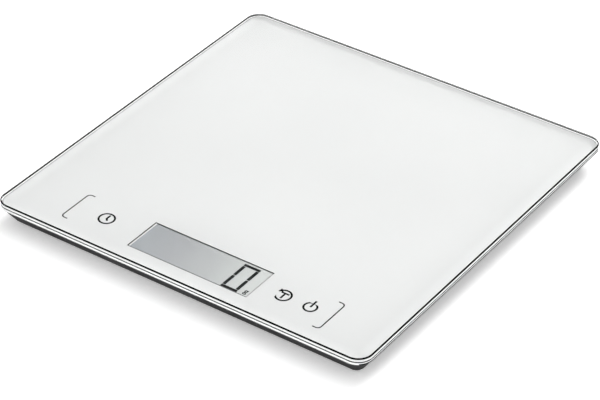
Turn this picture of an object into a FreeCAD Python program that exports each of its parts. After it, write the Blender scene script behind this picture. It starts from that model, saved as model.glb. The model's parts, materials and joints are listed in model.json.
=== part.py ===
import FreeCAD, Part
import math
import os
import Sketcher

# A slim square kitchen scale. Millimetres, +Z up. The origin is on the surface that the scale
# stands on, under the middle of the glass. The display and touch marks are at the front, on -Y.
# A glass plate is taped to a shallow plastic housing. Four feet come through the housing's floor,
# and each one presses on the tongue of its own steel load cell. The display, the main board and
# the touch springs sit along the front edge, and the coin cells sit behind a door underneath.

Vector = FreeCAD.Vector

DRIVING_SIZES = [
    ("PlateSide", 275, "side of the square glass plate"),
    ("PlateThickness", 4.8, "thickness of the glass plate"),
    ("PlateCornerRadius", 10, "corner radius of the glass plate, seen from above"),
    ("PlateBevel", 0.6, "polished bevel along the plate's edges"),
    ("TotalHeight", 18, "from the table to the top of the glass"),
    ("PrintThickness", 0.1, "printed film under the glass"),
    ("PrintMargin", 1, "clear rim that the print leaves along the glass edge"),
    ("TapeThickness", 0.4, "double-sided tape between the print and the housing"),
    ("TapeWidth", 3.2, "width of the tape frame"),
    ("HousingTopSide", 273.4, "side of the housing at its rim"),
    ("HousingTopRadius", 9.2, "corner radius of the housing at its rim"),
    ("HousingFloorSide", 260.2, "side of the housing above its bevelled lower edge"),
    ("HousingFloorRadius", 5.6, "corner radius of the housing above its bevelled lower edge"),
    ("HousingClearance", 1.8, "from the table to the housing's underside"),
    ("HousingEdgeBevel", 1, "bevel of the housing's lower edge"),
    ("FloorThickness", 2, "thickness of the housing's floor"),
    ("CavitySide", 257.6, "side of the housing's cavity at the floor"),
    ("CavityRadius", 3.4, "corner radius of the housing's cavity at the floor"),
    ("RimWidth", 4, "housing wall at the rim"),
    ("RibThickness", 1.6, "stiffening ribs"),
    ("RibHeight", 3.5, "stiffening ribs above the floor"),
    ("RibLength", 108, "length of a stiffening rib"),
    ("RibOneY", -45, "first rib from the middle, front to back"),
    ("RibTwoY", -10, "second rib from the middle, front to back"),
    ("RibThreeY", 62, "third rib from the middle, front to back"),
    ("RibFourY", 95, "fourth rib from the middle, front to back"),
    ("FootX", 107, "foot centres from the middle, across"),
    ("FootY", 104, "foot centres from the middle, front to back"),
    ("FootRadius", 10.2, "foot where it passes the floor"),
    ("FootClearance", 0.4, "gap round a foot, and over its flange's seat"),
    ("FootFlange", 1.6, "how far a foot's flange stands out"),
    ("FootFlangeThickness", 1, "thickness of a foot's flange"),
    ("FootPostRadius", 3, "post that presses on the load cell"),
    ("FootPadHeight", 1.5, "rubber pad under a foot"),
    ("FootPadRadius", 9.4, "rubber pad under a foot"),
    ("FootPadRound", 0.5, "rounding of the pad's lower edge"),
    ("FootPadSeat", 0.3, "depth of the pad's seat in the foot"),
    ("FootPadGap", 0.1, "gap round the pad in its seat"),
    ("CellSide", 30, "side of a load cell's steel plate"),
    ("CellThickness", 1.6, "thickness of a load cell's steel plate"),
    ("CellHeight", 7, "from the table to the underside of the load cells"),
    ("CellFrame", 5, "width of a load cell's outer frame"),
    ("CellSlot", 2.5, "width of the slot round a load cell's tongue"),
    ("TongueWidth", 11, "width of a load cell's tongue"),
    ("GaugeLength", 6, "strain gauge on the tongue's root"),
    ("GaugeWidth", 8, "strain gauge on the tongue's root"),
    ("GaugeThickness", 0.4, "strain gauge with its cover of silicone"),
    ("HolderSide", 34, "side of a load cell holder"),
    ("HolderBore", 12.6, "radius of the hole in a load cell holder"),
    ("HolderGap", 0.1, "gap round a load cell in its holder"),
    ("EarRoot", 1, "how far the holders' ears run into their blocks"),
    ("EarReach", 20.5, "holder screws from the middle of their foot"),
    ("EarRadius", 3.2, "ears on the load cell holders"),
    ("EarThickness", 1.5, "ears on the load cell holders and the display frame"),
    ("BossRadius", 3, "screw bosses in the housing"),
    ("ScrewRadius", 1.1, "screw shanks and the pilot holes that they cut into"),
    ("ScrewReach", 2, "how far a screw goes into its boss"),
    ("ScrewHeadRadius", 2.3, "screw heads"),
    ("ScrewHeadHeight", 1.4, "screw heads"),
    ("ScrewSlotWidth", 0.6, "arms of the cross in a screw head"),
    ("ScrewSlotLength", 2.6, "arms of the cross in a screw head"),
    ("ScrewSlotDepth", 0.8, "arms of the cross in a screw head"),
    ("DisplayY", -109.9, "middle of the display and of the main board, front to back"),
    ("WindowX", 1.8, "middle of the display window from the middle, across"),
    ("WindowWidth", 86.6, "display window in the print"),
    ("WindowDepth", 27.2, "display window in the print"),
    ("DisplayWidth", 93, "front glass of the display"),
    ("DisplayDepth", 31.5, "front glass of the display"),
    ("DisplayRearDepth", 25.5, "rear glass of the display, between the contact ledges"),
    ("DisplayGlass", 1.1, "thickness of each of the display's two glasses"),
    ("DisplayGap", 0.1, "from the printed film down to the display"),
    ("ReflectorThickness", 0.2, "reflecting film behind the display"),
    ("FrameWall", 2, "wall of the display frame"),
    ("FrameGap", 0.15, "gap between the display and its frame"),
    ("FrameEarX", 52.6, "display frame screws from the middle, across"),
    ("FrameEarY", 12, "display frame screws from the display's middle, front to back"),
    ("FrameEarWidth", 8.4, "ears of the display frame"),
    ("StripWidth", 2, "rubber contact strips between display and board"),
    ("StripLength", 88, "rubber contact strips between display and board"),
    ("StripOffset", 14.3, "contact strips from the display's middle, front to back"),
    ("BoardWidth", 176, "main board"),
    ("BoardDepth", 36, "main board"),
    ("BoardThickness", 1.6, "main board"),
    ("BoardHeight", 7, "from the table to the main board's underside"),
    ("ChipSide", 12, "controller chip"),
    ("ChipHeight", 1.2, "controller chip"),
    ("ChipX", -20, "controller chip from the middle, across"),
    ("CrystalRadius", 1, "quartz crystal can"),
    ("CrystalLength", 6, "quartz crystal can"),
    ("CrystalX", 6, "quartz crystal from the middle, across"),
    ("TouchSpringRadius", 3.2, "middle of the touch springs' wire, seen from above"),
    ("TouchSpringWire", 0.25, "radius of the touch springs' wire"),
    ("TouchSpringTurns", 4, "turns of a touch spring"),
    ("TimerX", -70.3, "timer touch mark from the middle, across"),
    ("TareX", 62.5, "tare touch mark from the middle, across"),
    ("PowerX", 81.8, "power touch mark from the middle, across"),
    ("BuzzerX", 30, "buzzer disc from the middle, across"),
    ("BuzzerY", -67, "buzzer disc from the middle, front to back"),
    ("BuzzerRadius", 10, "brass disc of the buzzer"),
    ("BuzzerThickness", 0.4, "brass disc of the buzzer"),
    ("CeramicRadius", 7, "ceramic disc of the buzzer"),
    ("BuzzerSeatHeight", 1.2, "seat of the buzzer above the floor"),
    ("BuzzerSeatGap", 1, "gap between the ceramic disc's outline and the buzzer's seat"),
    ("BatteryY", 30, "middle of the battery door, front to back"),
    ("DoorWidth", 50, "battery door"),
    ("DoorDepth", 26, "battery door"),
    ("DoorThickness", 1.6, "battery door"),
    ("DoorGap", 0.2, "gap round the battery door"),
    ("TabX", 15, "hinge tabs of the door from its middle, across"),
    ("TabWidth", 6, "hinge tabs of the door"),
    ("TabReach", 2.5, "how far the hinge tabs reach past the door's edge"),
    ("TabRoot", 3, "how far the hinge tabs run back over the door"),
    ("TabThickness", 1, "hinge tabs of the door"),
    ("TabLift", 0.1, "gap between the hinge tabs and the floor under them"),
    ("TabPlay", 0.8, "room behind the hinge tabs in their slots"),
    ("GripWidth", 0.8, "finger grooves of the door"),
    ("GripDepth", 0.4, "finger grooves of the door"),
    ("GripPitch", 1.8, "finger grooves of the door, one to the next"),
    ("GripInset", 3, "first finger groove from the door's front edge"),
    ("LipThickness", 1.2, "floor under the hinge tabs"),
    ("LatchWidth", 10, "spring latch of the door"),
    ("LatchHeight", 2.8, "spring latch above the door"),
    ("LatchThickness", 1.2, "spring latch of the door"),
    ("BoxWall", 2, "wall of the battery box outside the door's recess"),
    ("BoxHeight", 9.6, "from the table to the top of the battery box"),
    ("BoxTop", 1, "roof of the battery box"),
    ("BayWidth", 43.4, "battery bay"),
    ("BayDepth", 21.6, "battery bay"),
    ("CoinRadius", 10, "coin cells"),
    ("CoinThickness", 3.2, "coin cells"),
    ("CoinX", 10.9, "coin cells from the middle, across"),
    ("CoinHeight", 4.4, "from the table to the underside of the coin cells"),
    ("CoinLidInset", 1.2, "coin cell lids from the cans' sides"),
    ("CoinLidHeight", 0.4, "coin cell lids"),
    ("ContactThickness", 0.3, "battery contacts"),
    ("ContactWidth", 5, "battery contacts"),
    ("ContactSlotPlay", 0.4, "how much longer the contacts' slots are than the contacts"),
    ("ContactTail", 0.8, "how far the contacts' tails stand out of the box"),
    ("ContactLift", 0.4, "contacts' lower ends above the cells' underside, and their turned-up tips"),
    ("ContactBend", 4, "from a cell's middle to where its contact leaves the roof"),
    ("ContactTip", 3, "from a cell's middle to its contact's tip"),
    ("ButtonX", -50, "unit button from the middle, across"),
    ("ButtonRadius", 3.9, "unit button where it passes the floor"),
    ("ButtonClearance", 0.3, "gap round the unit button"),
    ("ButtonFlange", 1.2, "how far the button's flange stands out"),
    ("ButtonFlangeThickness", 1.1, "thickness of the button's flange"),
    ("ButtonStandOut", 0.2, "how far the button stands out of the underside"),
    ("ButtonBevel", 0.4, "bevel round the button's face"),
    ("ButtonPlay", 0.05, "gap between the button's flange and the floor"),
    ("SwitchSide", 6, "small switch over the unit button"),
    ("SwitchHeight", 1.2, "small switch over the unit button"),
    ("SwitchPlungerRadius", 1.5, "plunger of the small switch"),
    ("SwitchPlungerHeight", 0.25, "plunger of the small switch"),
    ("LabelWidth", 40, "blank label on the underside"),
    ("LabelDepth", 24, "blank label on the underside"),
    ("LabelThickness", 0.1, "blank label on the underside"),
    ("LabelY", -30, "blank label from the middle, front to back"),
    ("CableRadius", 0.9, "load cell cables"),
    ("LeadRadius", 0.6, "battery and buzzer leads"),
    ("CableX", 74, "rear load cell cables from the middle, across"),
    ("ClipWidth", 1.2, "cable clip posts"),
    ("ClipLength", 6, "cable clip posts"),
    ("ClipHeight", 2.25, "cable clip posts above the floor"),
    ("ClipFrontY", -40, "front cable clips from the middle, front to back"),
    ("ClipRearY", 45, "rear cable clips from the middle, front to back"),
    ("CableBend", 9, "length that a load cell cable bends over"),
    ("LeadX", 59, "black battery lead from the middle, across"),
    ("LeadPitch", 3, "from one lead to the next"),
    ("LeadBend", 4, "length that a lead bends over"),
    ("BuzzerLeadReach", 38, "outer buzzer lead from the buzzer, across"),
    ("WireLift", 0.1, "gap between a wire and what it lies on"),
    ("BoardOverlap", 5, "how far the wires reach over the board's edge"),
]

# Heights and places that follow from the driving sizes, as expressions on the sheet's cells.
GLASS_BOTTOM = "(Sizes.TotalHeight - Sizes.PlateThickness)"
PRINT_BOTTOM = f"({GLASS_BOTTOM} - Sizes.PrintThickness)"
RIM_TOP = f"({PRINT_BOTTOM} - Sizes.TapeThickness)"
FLOOR_BOTTOM = "Sizes.HousingClearance"
FLOOR_TOP = f"({FLOOR_BOTTOM} + Sizes.FloorThickness)"
CELL_TOP = "(Sizes.CellHeight + Sizes.CellThickness)"
BOARD_TOP = "(Sizes.BoardHeight + Sizes.BoardThickness)"
DISPLAY_TOP = f"({PRINT_BOTTOM} - Sizes.DisplayGap)"
REAR_GLASS_TOP = f"({DISPLAY_TOP} - Sizes.DisplayGlass)"
REAR_GLASS_BOTTOM = f"({REAR_GLASS_TOP} - Sizes.DisplayGlass)"
BAY_TOP = "(Sizes.BoxHeight - Sizes.BoxTop)"
DOOR_TOP = f"({FLOOR_BOTTOM} + Sizes.DoorThickness)"
DOOR_BACK = "(Sizes.BatteryY + Sizes.DoorDepth / 2)"
DOOR_FRONT = "(Sizes.BatteryY - Sizes.DoorDepth / 2)"
COIN_TOP = "(Sizes.CoinHeight + Sizes.CoinThickness)"
BUZZER_SEAT = f"({FLOOR_TOP} + Sizes.BuzzerSeatHeight)"
BOARD_REAR = "(Sizes.DisplayY + Sizes.BoardDepth / 2)"

# The four corners that carry a foot: name, side across, side front to back.
CORNERS = [
    ("front_left", -1, -1),
    ("front_right", 1, -1),
    ("rear_left", -1, 1),
    ("rear_right", 1, 1),
]
TOUCH_MARKS = [("timer", "Sizes.TimerX"), ("tare", "Sizes.TareX"), ("power", "Sizes.PowerX")]

# How near an edge's ends lie to a height to count as level with it, how near a wire's volume
# comes to what its length gives, and the share of a straight run that each corner's arc takes.
LEVEL_TOLERANCE = 1e-4
VOLUME_TOLERANCE = 0.01
ARC_SHARE = 0.45

doc = FreeCAD.newDocument("kitchen_scale")
sub_parts = []


# ---------------------------------------------------------------- sheet and bindings

def make_sheet():
    """Put every driving size in a cell of its own, with its name as the alias."""
    sheet = doc.addObject("Spreadsheet::Sheet", "Sizes")
    for row, (alias, size, note) in enumerate(DRIVING_SIZES, start=1):
        sheet.set(f"A{row}", note)
        sheet.set(f"B{row}", str(size))
        sheet.setAlias(f"B{row}", alias)
    doc.recompute()
    return sheet


sizes = make_sheet()


def amount(expression):
    """The present value of an expression on the sheet's cells."""
    return float(sizes.evalExpression(expression))


def bind(thing, expressions):
    """Bind properties of a document object to expressions on the sheet's cells."""
    for name, expression in expressions.items():
        thing.setExpression(name, expression)


def sub_part(thing):
    """Count a document object as a sub-part, which gets a file of its own."""
    sub_parts.append(thing)
    return thing


# ---------------------------------------------------------------- sketches

def new_body(name, at=None, turn=0):
    """A sub-part's body. at gives the place as expressions, turn is degrees about +Z."""
    body = sub_part(doc.addObject("PartDesign::Body", name))
    body.Placement.Rotation = FreeCAD.Rotation(Vector(0, 0, 1), turn)
    for axis, expression in zip("xyz", at or ()):
        body.setExpression(f"Placement.Base.{axis}", expression)
    return body


def new_sketch(body, name, height="0", plane="XY_Plane"):
    """A sketch on one of its body's own origin planes, lifted to a height off that plane."""
    sketch = body.newObject("Sketcher::SketchObject", name)
    support = next(item for item in body.Origin.OriginFeatures if item.Role == plane)
    sketch.AttachmentSupport = (support, "")
    sketch.MapMode = "FlatFace"
    bind(sketch, {"AttachmentOffset.Base.z": height})
    return sketch


def dimension(sketch, kind, places, expression):
    """Add a dimension to a sketch and bind it to the sheet."""
    index = sketch.addConstraint(Sketcher.Constraint(kind, *places, amount(expression)))
    bind(sketch, {f"Constraints[{index}]": expression})


def draw_polygon(sketch, corners):
    """Draw a closed polygon whose corners are pairs of expressions."""
    points = [Vector(amount(across), amount(along)) for across, along in corners]
    first = sketch.GeometryCount
    for start, end in zip(points, points[1:] + points[:1]):
        sketch.addGeometry(Part.LineSegment(start, end))
    for index, (across, along) in enumerate(corners):
        line = first + index
        following = first + (index + 1) % len(corners)
        sketch.addConstraint(Sketcher.Constraint("Coincident", line, 2, following, 1))
        dimension(sketch, "DistanceX", (-1, 1, line, 1), across)
        dimension(sketch, "DistanceY", (-1, 1, line, 1), along)


def draw_rectangle(sketch, width, depth, across="0", along="0"):
    """Draw a sharp rectangle with its middle at the given place."""
    left = f"({across}) - ({width}) / 2"
    right = f"({across}) + ({width}) / 2"
    near = f"({along}) - ({depth}) / 2"
    far = f"({along}) + ({depth}) / 2"
    draw_polygon(sketch, [(left, near), (right, near), (right, far), (left, far)])


def draw_circle(sketch, radius, across="0", along="0"):
    """Draw a circle with its middle at the given place."""
    centre = Vector(amount(across), amount(along))
    circle = sketch.addGeometry(Part.Circle(centre, Vector(0, 0, 1), amount(radius)))
    dimension(sketch, "DistanceX", (-1, 1, circle, 3), across)
    dimension(sketch, "DistanceY", (-1, 1, circle, 3), along)
    dimension(sketch, "Radius", (circle,), radius)


def draw_rounded_square(sketch, side, radius):
    """Draw a square with round corners, centred on the sketch's origin."""
    half = amount(side) / 2
    corner = amount(radius)
    flat = half - corner
    quarter = math.pi / 2
    first = sketch.GeometryCount
    for turn in range(4):
        spin = FreeCAD.Rotation(Vector(0, 0, 1), math.degrees(turn * quarter))
        start = spin.multVec(Vector(half, -flat))
        end = spin.multVec(Vector(half, flat))
        sketch.addGeometry(Part.LineSegment(start, end))
    for turn in range(4):
        spin = FreeCAD.Rotation(Vector(0, 0, 1), math.degrees(turn * quarter))
        centre = spin.multVec(Vector(flat, flat))
        circle = Part.Circle(centre, Vector(0, 0, 1), corner)
        sketch.addGeometry(Part.ArcOfCircle(circle, turn * quarter, (turn + 1) * quarter))
    for turn in range(4):
        line = first + turn
        arc = first + 4 + turn
        following = first + (turn + 1) % 4
        sketch.addConstraint(Sketcher.Constraint("Tangent", line, 2, arc, 1))
        sketch.addConstraint(Sketcher.Constraint("Tangent", arc, 2, following, 1))
        sketch.addConstraint(Sketcher.Constraint("Horizontal" if turn % 2 else "Vertical", line))
    for turn in range(1, 4):
        sketch.addConstraint(Sketcher.Constraint("Equal", first + 4, first + 4 + turn))
    sketch.addConstraint(Sketcher.Constraint("Symmetric", first + 4, 3, first + 6, 3, -1, 1))
    dimension(sketch, "DistanceX", (first + 2, 1, first, 1), side)
    dimension(sketch, "DistanceY", (first + 3, 1, first + 1, 1), side)
    dimension(sketch, "Radius", (first + 4,), radius)


# ---------------------------------------------------------------- features

def pad(body, sketch, length):
    """Raise a sketch along its normal."""
    feature = body.newObject("PartDesign::Pad", f"{sketch.Name}_pad")
    feature.Profile = sketch
    bind(feature, {"Length": length})
    return feature


def pocket(body, sketch, depth, upwards=False):
    """Cut a sketch downwards out of the body, or upwards where that is said."""
    feature = body.newObject("PartDesign::Pocket", f"{sketch.Name}_pocket")
    feature.Profile = sketch
    feature.Reversed = upwards
    bind(feature, {"Length": depth})
    return feature


def revolve(body, sketch):
    """Turn a half profile, drawn on the XZ plane, about the body's own Z axis."""
    feature = body.newObject("PartDesign::Revolution", f"{sketch.Name}_turned")
    feature.Profile = sketch
    feature.ReferenceAxis = (sketch, ["V_Axis"])
    feature.Angle = 360
    return feature


def loft(body, kind, lowest, others):
    """Join outlines one above another, as kind AdditiveLoft or SubtractiveLoft."""
    feature = body.newObject(f"PartDesign::{kind}", f"{lowest.Name}_loft")
    feature.Profile = lowest
    feature.Sections = others
    feature.Ruled = True
    return feature


def edges_at_height(feature, height, reach):
    """Names of a feature's edges that lie at one height and further out than reach."""
    names = []
    for number, edge in enumerate(feature.Shape.Edges, start=1):
        box = edge.BoundBox
        level = max(abs(box.ZMin - height), abs(box.ZMax - height)) < LEVEL_TOLERANCE
        outside = max(abs(box.XMin), abs(box.XMax), abs(box.YMin), abs(box.YMax)) > reach
        if level and outside:
            names.append(f"Edge{number}")
    return names


def dress_edges(body, kind, feature, edge_names, property_name, size):
    """Add a Fillet or a Chamfer to some of a feature's edges."""
    dressed = body.newObject(f"PartDesign::{kind}", f"{feature.Name}_{kind.lower()}")
    dressed.Base = (feature, edge_names)
    bind(dressed, {property_name: size})
    return dressed


# ---------------------------------------------------------------- primitives

def centred_box(name, width, depth, height, across, along, base):
    """A box placed by the middle of its underside."""
    box = doc.addObject("Part::Box", name)
    bind(box, {
        "Length": width,
        "Width": depth,
        "Height": height,
        "Placement.Base.x": f"({across}) - ({width}) / 2",
        "Placement.Base.y": f"({along}) - ({depth}) / 2",
        "Placement.Base.z": base,
    })
    return box


def upright_cylinder(name, radius, height, across, along, base):
    """A cylinder placed by the middle of its underside."""
    cylinder = doc.addObject("Part::Cylinder", name)
    bind(cylinder, {
        "Radius": radius,
        "Height": height,
        "Placement.Base.x": across,
        "Placement.Base.y": along,
        "Placement.Base.z": base,
    })
    return cylinder


def fused(name, pieces):
    """Several primitives as one solid."""
    union = doc.addObject("Part::MultiFuse", name)
    union.Shapes = pieces
    return union


def cut_away(name, base, tools):
    """A primitive with others cut out of it."""
    cut = doc.addObject("Part::Cut", name)
    cut.Base = base
    cut.Tool = tools[0] if len(tools) == 1 else fused(f"{name}_tools", tools)
    return cut


def group(name, pieces):
    """Separate solids that share one node."""
    compound = doc.addObject("Part::Compound", name)
    compound.Links = pieces
    return compound


def shaped(name, shape, at=Vector()):
    """A sub-part whose shape is worked out directly, and then put in its place."""
    feature = sub_part(doc.addObject("Part::Feature", name))
    feature.Shape = shape
    feature.Placement = FreeCAD.Placement(at, FreeCAD.Rotation())
    return feature


# ---------------------------------------------------------------- wires and bent strips

def rounded_route(points):
    """A wire of straight runs joined by tangent arcs, as large as the shorter run allows."""
    points = [Vector(*point) for point in points]
    edges = []
    start = points[0]
    for before, corner, after in zip(points, points[1:], points[2:]):
        inward = (corner - before).normalize()
        outward = (after - corner).normalize()
        turn = inward.getAngle(outward)
        setback = ARC_SHARE * min((corner - before).Length, (after - corner).Length)
        radius = setback / math.tan(turn / 2)
        arc_start = corner - inward * setback
        arc_end = corner + outward * setback
        bisector = (outward - inward).normalize()
        centre = corner + bisector * (radius / math.cos(turn / 2))
        arc_middle = centre - bisector * radius
        edges.append(Part.LineSegment(start, arc_start).toShape())
        edges.append(Part.Arc(arc_start, arc_middle, arc_end).toShape())
        start = arc_end
    edges.append(Part.LineSegment(start, points[-1]).toShape())
    return Part.Wire(edges)


def coiled_route(radius, turns, rise):
    """A wire that winds round +Z in half turns, each a half circle tilted to climb its share."""
    step = rise / turns / 2
    tilted = math.hypot(radius, step / 2)
    edges = []
    for half_turn in range(2 * turns):
        side = 1 if half_turn % 2 == 0 else -1
        foot = half_turn * step
        start = Vector(side * radius, 0, foot)
        middle = Vector(0, side * tilted, foot + step / 2)
        end = Vector(-side * radius, 0, foot + step)
        edges.append(Part.Arc(start, middle, end).toShape())
    return Part.Wire(edges)


def round_wire(spine, radius):
    """A round wire of one thickness along a spine, checked against its length."""
    heading = spine.Edges[0].tangentAt(spine.Edges[0].FirstParameter)
    start = spine.Edges[0].Vertexes[0].Point
    section = Part.Wire([Part.Circle(start, heading, radius).toShape()])
    solid = spine.makePipeShell([section], True, False)
    expected = math.pi * radius ** 2 * spine.Length
    if abs(solid.Volume - expected) > VOLUME_TOLERANCE * expected:
        raise RuntimeError("a wire's volume doesn't match its length")
    return solid


def bent_strip(centre_line, thickness, width):
    """A flat strip bent to a line in the XZ plane, with its width from there along Y."""
    path = [Vector(across, 0, height) for across, height in centre_line]
    one_side = []
    other_side = []
    for index, point in enumerate(path):
        runs = []
        if index > 0:
            runs.append((point - path[index - 1]).normalize())
        if index < len(path) - 1:
            runs.append((path[index + 1] - point).normalize())
        normals = [Vector(-run.z, 0, run.x) for run in runs]
        mitre = sum(normals, Vector()).normalize()
        offset = mitre * (thickness / 2 / mitre.dot(normals[0]))
        one_side.append(point + offset)
        other_side.append(point - offset)
    outline = one_side + other_side[::-1] + one_side[:1]
    face = Part.Face(Part.makePolygon(outline))
    return face.extrude(Vector(0, width, 0))


# ---------------------------------------------------------------- glass, print and tape

def make_glass_plate():
    body = new_body("glass_plate")
    outline = new_sketch(body, "plate_outline", GLASS_BOTTOM)
    draw_rounded_square(outline, "Sizes.PlateSide", "Sizes.PlateCornerRadius")
    slab = pad(body, outline, "Sizes.PlateThickness")
    doc.recompute()
    top = edges_at_height(slab, amount("Sizes.TotalHeight"), 0)
    bottom = edges_at_height(slab, amount(GLASS_BOTTOM), 0)
    dress_edges(body, "Chamfer", slab, top + bottom, "Size", "Sizes.PlateBevel")


def make_plate_print():
    body = new_body("plate_print")
    outline = new_sketch(body, "print_outline", PRINT_BOTTOM)
    draw_rounded_square(
        outline,
        "Sizes.PlateSide - 2 * Sizes.PrintMargin",
        "Sizes.PlateCornerRadius - Sizes.PrintMargin",
    )
    draw_rectangle(outline, "Sizes.WindowWidth", "Sizes.WindowDepth",
                   across="Sizes.WindowX", along="Sizes.DisplayY")
    pad(body, outline, "Sizes.PrintThickness")


def make_tape_frame():
    body = new_body("tape_frame")
    outline = new_sketch(body, "tape_outline", RIM_TOP)
    edge = "(Sizes.RimWidth - Sizes.TapeWidth) / 2"
    draw_rounded_square(outline, f"Sizes.HousingTopSide - 2 * {edge}",
                        f"Sizes.HousingTopRadius - {edge}")
    draw_rounded_square(outline, f"Sizes.HousingTopSide - 2 * {edge} - 2 * Sizes.TapeWidth",
                        f"Sizes.HousingTopRadius - {edge} - Sizes.TapeWidth")
    pad(body, outline, "Sizes.TapeThickness")


# ---------------------------------------------------------------- housing

def screw_places():
    """Places of the holder screws and of the board screws, as expressions."""
    holder = []
    for _, across, along in CORNERS:
        for side in (-1, 1):
            holder.append((f"{across} * Sizes.FootX",
                           f"{along} * Sizes.FootY + {side} * Sizes.EarReach"))
    board = []
    for across in (-1, 1):
        for along in (-1, 1):
            board.append((f"{across} * Sizes.FrameEarX",
                          f"Sizes.DisplayY + {along} * Sizes.FrameEarY"))
    return holder, board


def add_shell(body):
    """The tray itself: a bevelled lower edge, sloping walls, and an open top with a wide rim."""
    under = new_sketch(body, "shell_under", FLOOR_BOTTOM)
    draw_rounded_square(under, "Sizes.HousingFloorSide - 2 * Sizes.HousingEdgeBevel",
                        "Sizes.HousingFloorRadius - Sizes.HousingEdgeBevel")
    lower = new_sketch(body, "shell_lower", f"{FLOOR_BOTTOM} + Sizes.HousingEdgeBevel")
    draw_rounded_square(lower, "Sizes.HousingFloorSide", "Sizes.HousingFloorRadius")
    upper = new_sketch(body, "shell_upper", RIM_TOP)
    draw_rounded_square(upper, "Sizes.HousingTopSide", "Sizes.HousingTopRadius")
    loft(body, "AdditiveLoft", under, [lower, upper])
    inner_lower = new_sketch(body, "cavity_lower", FLOOR_TOP)
    draw_rounded_square(inner_lower, "Sizes.CavitySide", "Sizes.CavityRadius")
    inner_upper = new_sketch(body, "cavity_upper", RIM_TOP)
    draw_rounded_square(inner_upper, "Sizes.HousingTopSide - 2 * Sizes.RimWidth",
                        "Sizes.HousingTopRadius - Sizes.RimWidth")
    loft(body, "SubtractiveLoft", inner_lower, [inner_upper])


def add_foot_holes(body):
    sketch = new_sketch(body, "foot_holes", FLOOR_TOP)
    for _, across, along in CORNERS:
        draw_circle(sketch, "Sizes.FootRadius + Sizes.FootClearance",
                    f"{across} * Sizes.FootX", f"{along} * Sizes.FootY")
    pocket(body, sketch, "Sizes.FloorThickness")


def add_bosses(body):
    """Bosses under the load cell holders and under the main board, with pilot holes."""
    holder, board = screw_places()
    for name, places, height in (("holder", holder, "Sizes.CellHeight"),
                                 ("board", board, "Sizes.BoardHeight")):
        bosses = new_sketch(body, f"{name}_bosses", FLOOR_TOP)
        holes = new_sketch(body, f"{name}_boss_holes", height)
        for across, along in places:
            draw_circle(bosses, "Sizes.BossRadius", across, along)
            draw_circle(holes, "Sizes.ScrewRadius", across, along)
        pad(body, bosses, f"{height} - {FLOOR_TOP}")
        pocket(body, holes, "Sizes.ScrewReach")


def add_ribs(body):
    sketch = new_sketch(body, "ribs", FLOOR_TOP)
    for along in ("Sizes.RibOneY", "Sizes.RibTwoY", "Sizes.RibThreeY", "Sizes.RibFourY"):
        draw_rectangle(sketch, "Sizes.RibLength", "Sizes.RibThickness", along=along)
    pad(body, sketch, "Sizes.RibHeight")


def add_cable_clips(body):
    """Pairs of posts that hold the rear load cell cables."""
    sketch = new_sketch(body, "cable_clips", FLOOR_TOP)
    offset = "(Sizes.CableRadius + Sizes.ClipWidth / 2)"
    for side in (-1, 1):
        for post in (-1, 1):
            for along in ("Sizes.ClipFrontY", "0", "Sizes.ClipRearY"):
                draw_rectangle(sketch, "Sizes.ClipWidth", "Sizes.ClipLength",
                               f"{side} * Sizes.CableX + {post} * {offset}", along)
    pad(body, sketch, "Sizes.ClipHeight")


def add_buzzer_seat(body):
    """A ring that the buzzer disc is glued to."""
    sketch = new_sketch(body, "buzzer_seat", FLOOR_TOP)
    draw_circle(sketch, "Sizes.BuzzerRadius", "Sizes.BuzzerX", "Sizes.BuzzerY")
    draw_circle(sketch, "Sizes.CeramicRadius + Sizes.BuzzerSeatGap", "Sizes.BuzzerX", "Sizes.BuzzerY")
    pad(body, sketch, "Sizes.BuzzerSeatHeight")


def add_battery_box(body):
    """A box over the battery door's opening, with slots for the door and the contacts."""
    box = new_sketch(body, "battery_box", FLOOR_TOP)
    draw_rectangle(box, "Sizes.DoorWidth + 2 * Sizes.BoxWall",
                   "Sizes.DoorDepth + 2 * Sizes.BoxWall", along="Sizes.BatteryY")
    pad(body, box, f"Sizes.BoxHeight - {FLOOR_TOP}")
    recess = new_sketch(body, "door_recess", FLOOR_BOTTOM)
    draw_rectangle(recess, "Sizes.DoorWidth + 2 * Sizes.DoorGap",
                   "Sizes.DoorDepth + 2 * Sizes.DoorGap", along="Sizes.BatteryY")
    pocket(body, recess, "Sizes.DoorThickness + Sizes.DoorGap / 2", upwards=True)
    bay = new_sketch(body, "battery_bay", FLOOR_BOTTOM)
    draw_rectangle(bay, "Sizes.BayWidth", "Sizes.BayDepth", along="Sizes.BatteryY")
    pocket(body, bay, f"{BAY_TOP} - {FLOOR_BOTTOM}", upwards=True)
    latch_slot = new_sketch(body, "latch_slot", FLOOR_BOTTOM)
    draw_rectangle(latch_slot, "Sizes.LatchWidth + 4 * Sizes.DoorGap",
                   "2 * Sizes.LatchThickness + Sizes.DoorGap",
                   along=f"{DOOR_FRONT} + Sizes.LatchThickness - Sizes.DoorGap / 2")
    pocket(body, latch_slot, "Sizes.DoorThickness + Sizes.LatchHeight + 3 * Sizes.DoorGap",
           upwards=True)
    tab_slots = new_sketch(body, "tab_slots", f"{FLOOR_BOTTOM} + Sizes.LipThickness")
    for side in (-1, 1):
        draw_rectangle(tab_slots, "Sizes.TabWidth + 3 * Sizes.DoorGap",
                       "Sizes.TabRoot + Sizes.TabReach + Sizes.TabPlay",
                       f"{side} * Sizes.TabX",
                       f"{DOOR_BACK} + (Sizes.TabReach - Sizes.TabRoot + Sizes.TabPlay) / 2")
    pocket(body, tab_slots, "4 * Sizes.TabThickness", upwards=True)
    contact_slots = new_sketch(body, "contact_slots", "Sizes.BoxHeight")
    for across in (contact_tail(-1), contact_tail(1)):
        draw_rectangle(contact_slots, "2 * Sizes.ContactThickness",
                       "Sizes.ContactWidth + Sizes.ContactSlotPlay", across, "Sizes.BatteryY")
    pocket(body, contact_slots, "Sizes.BoxTop")


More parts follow.
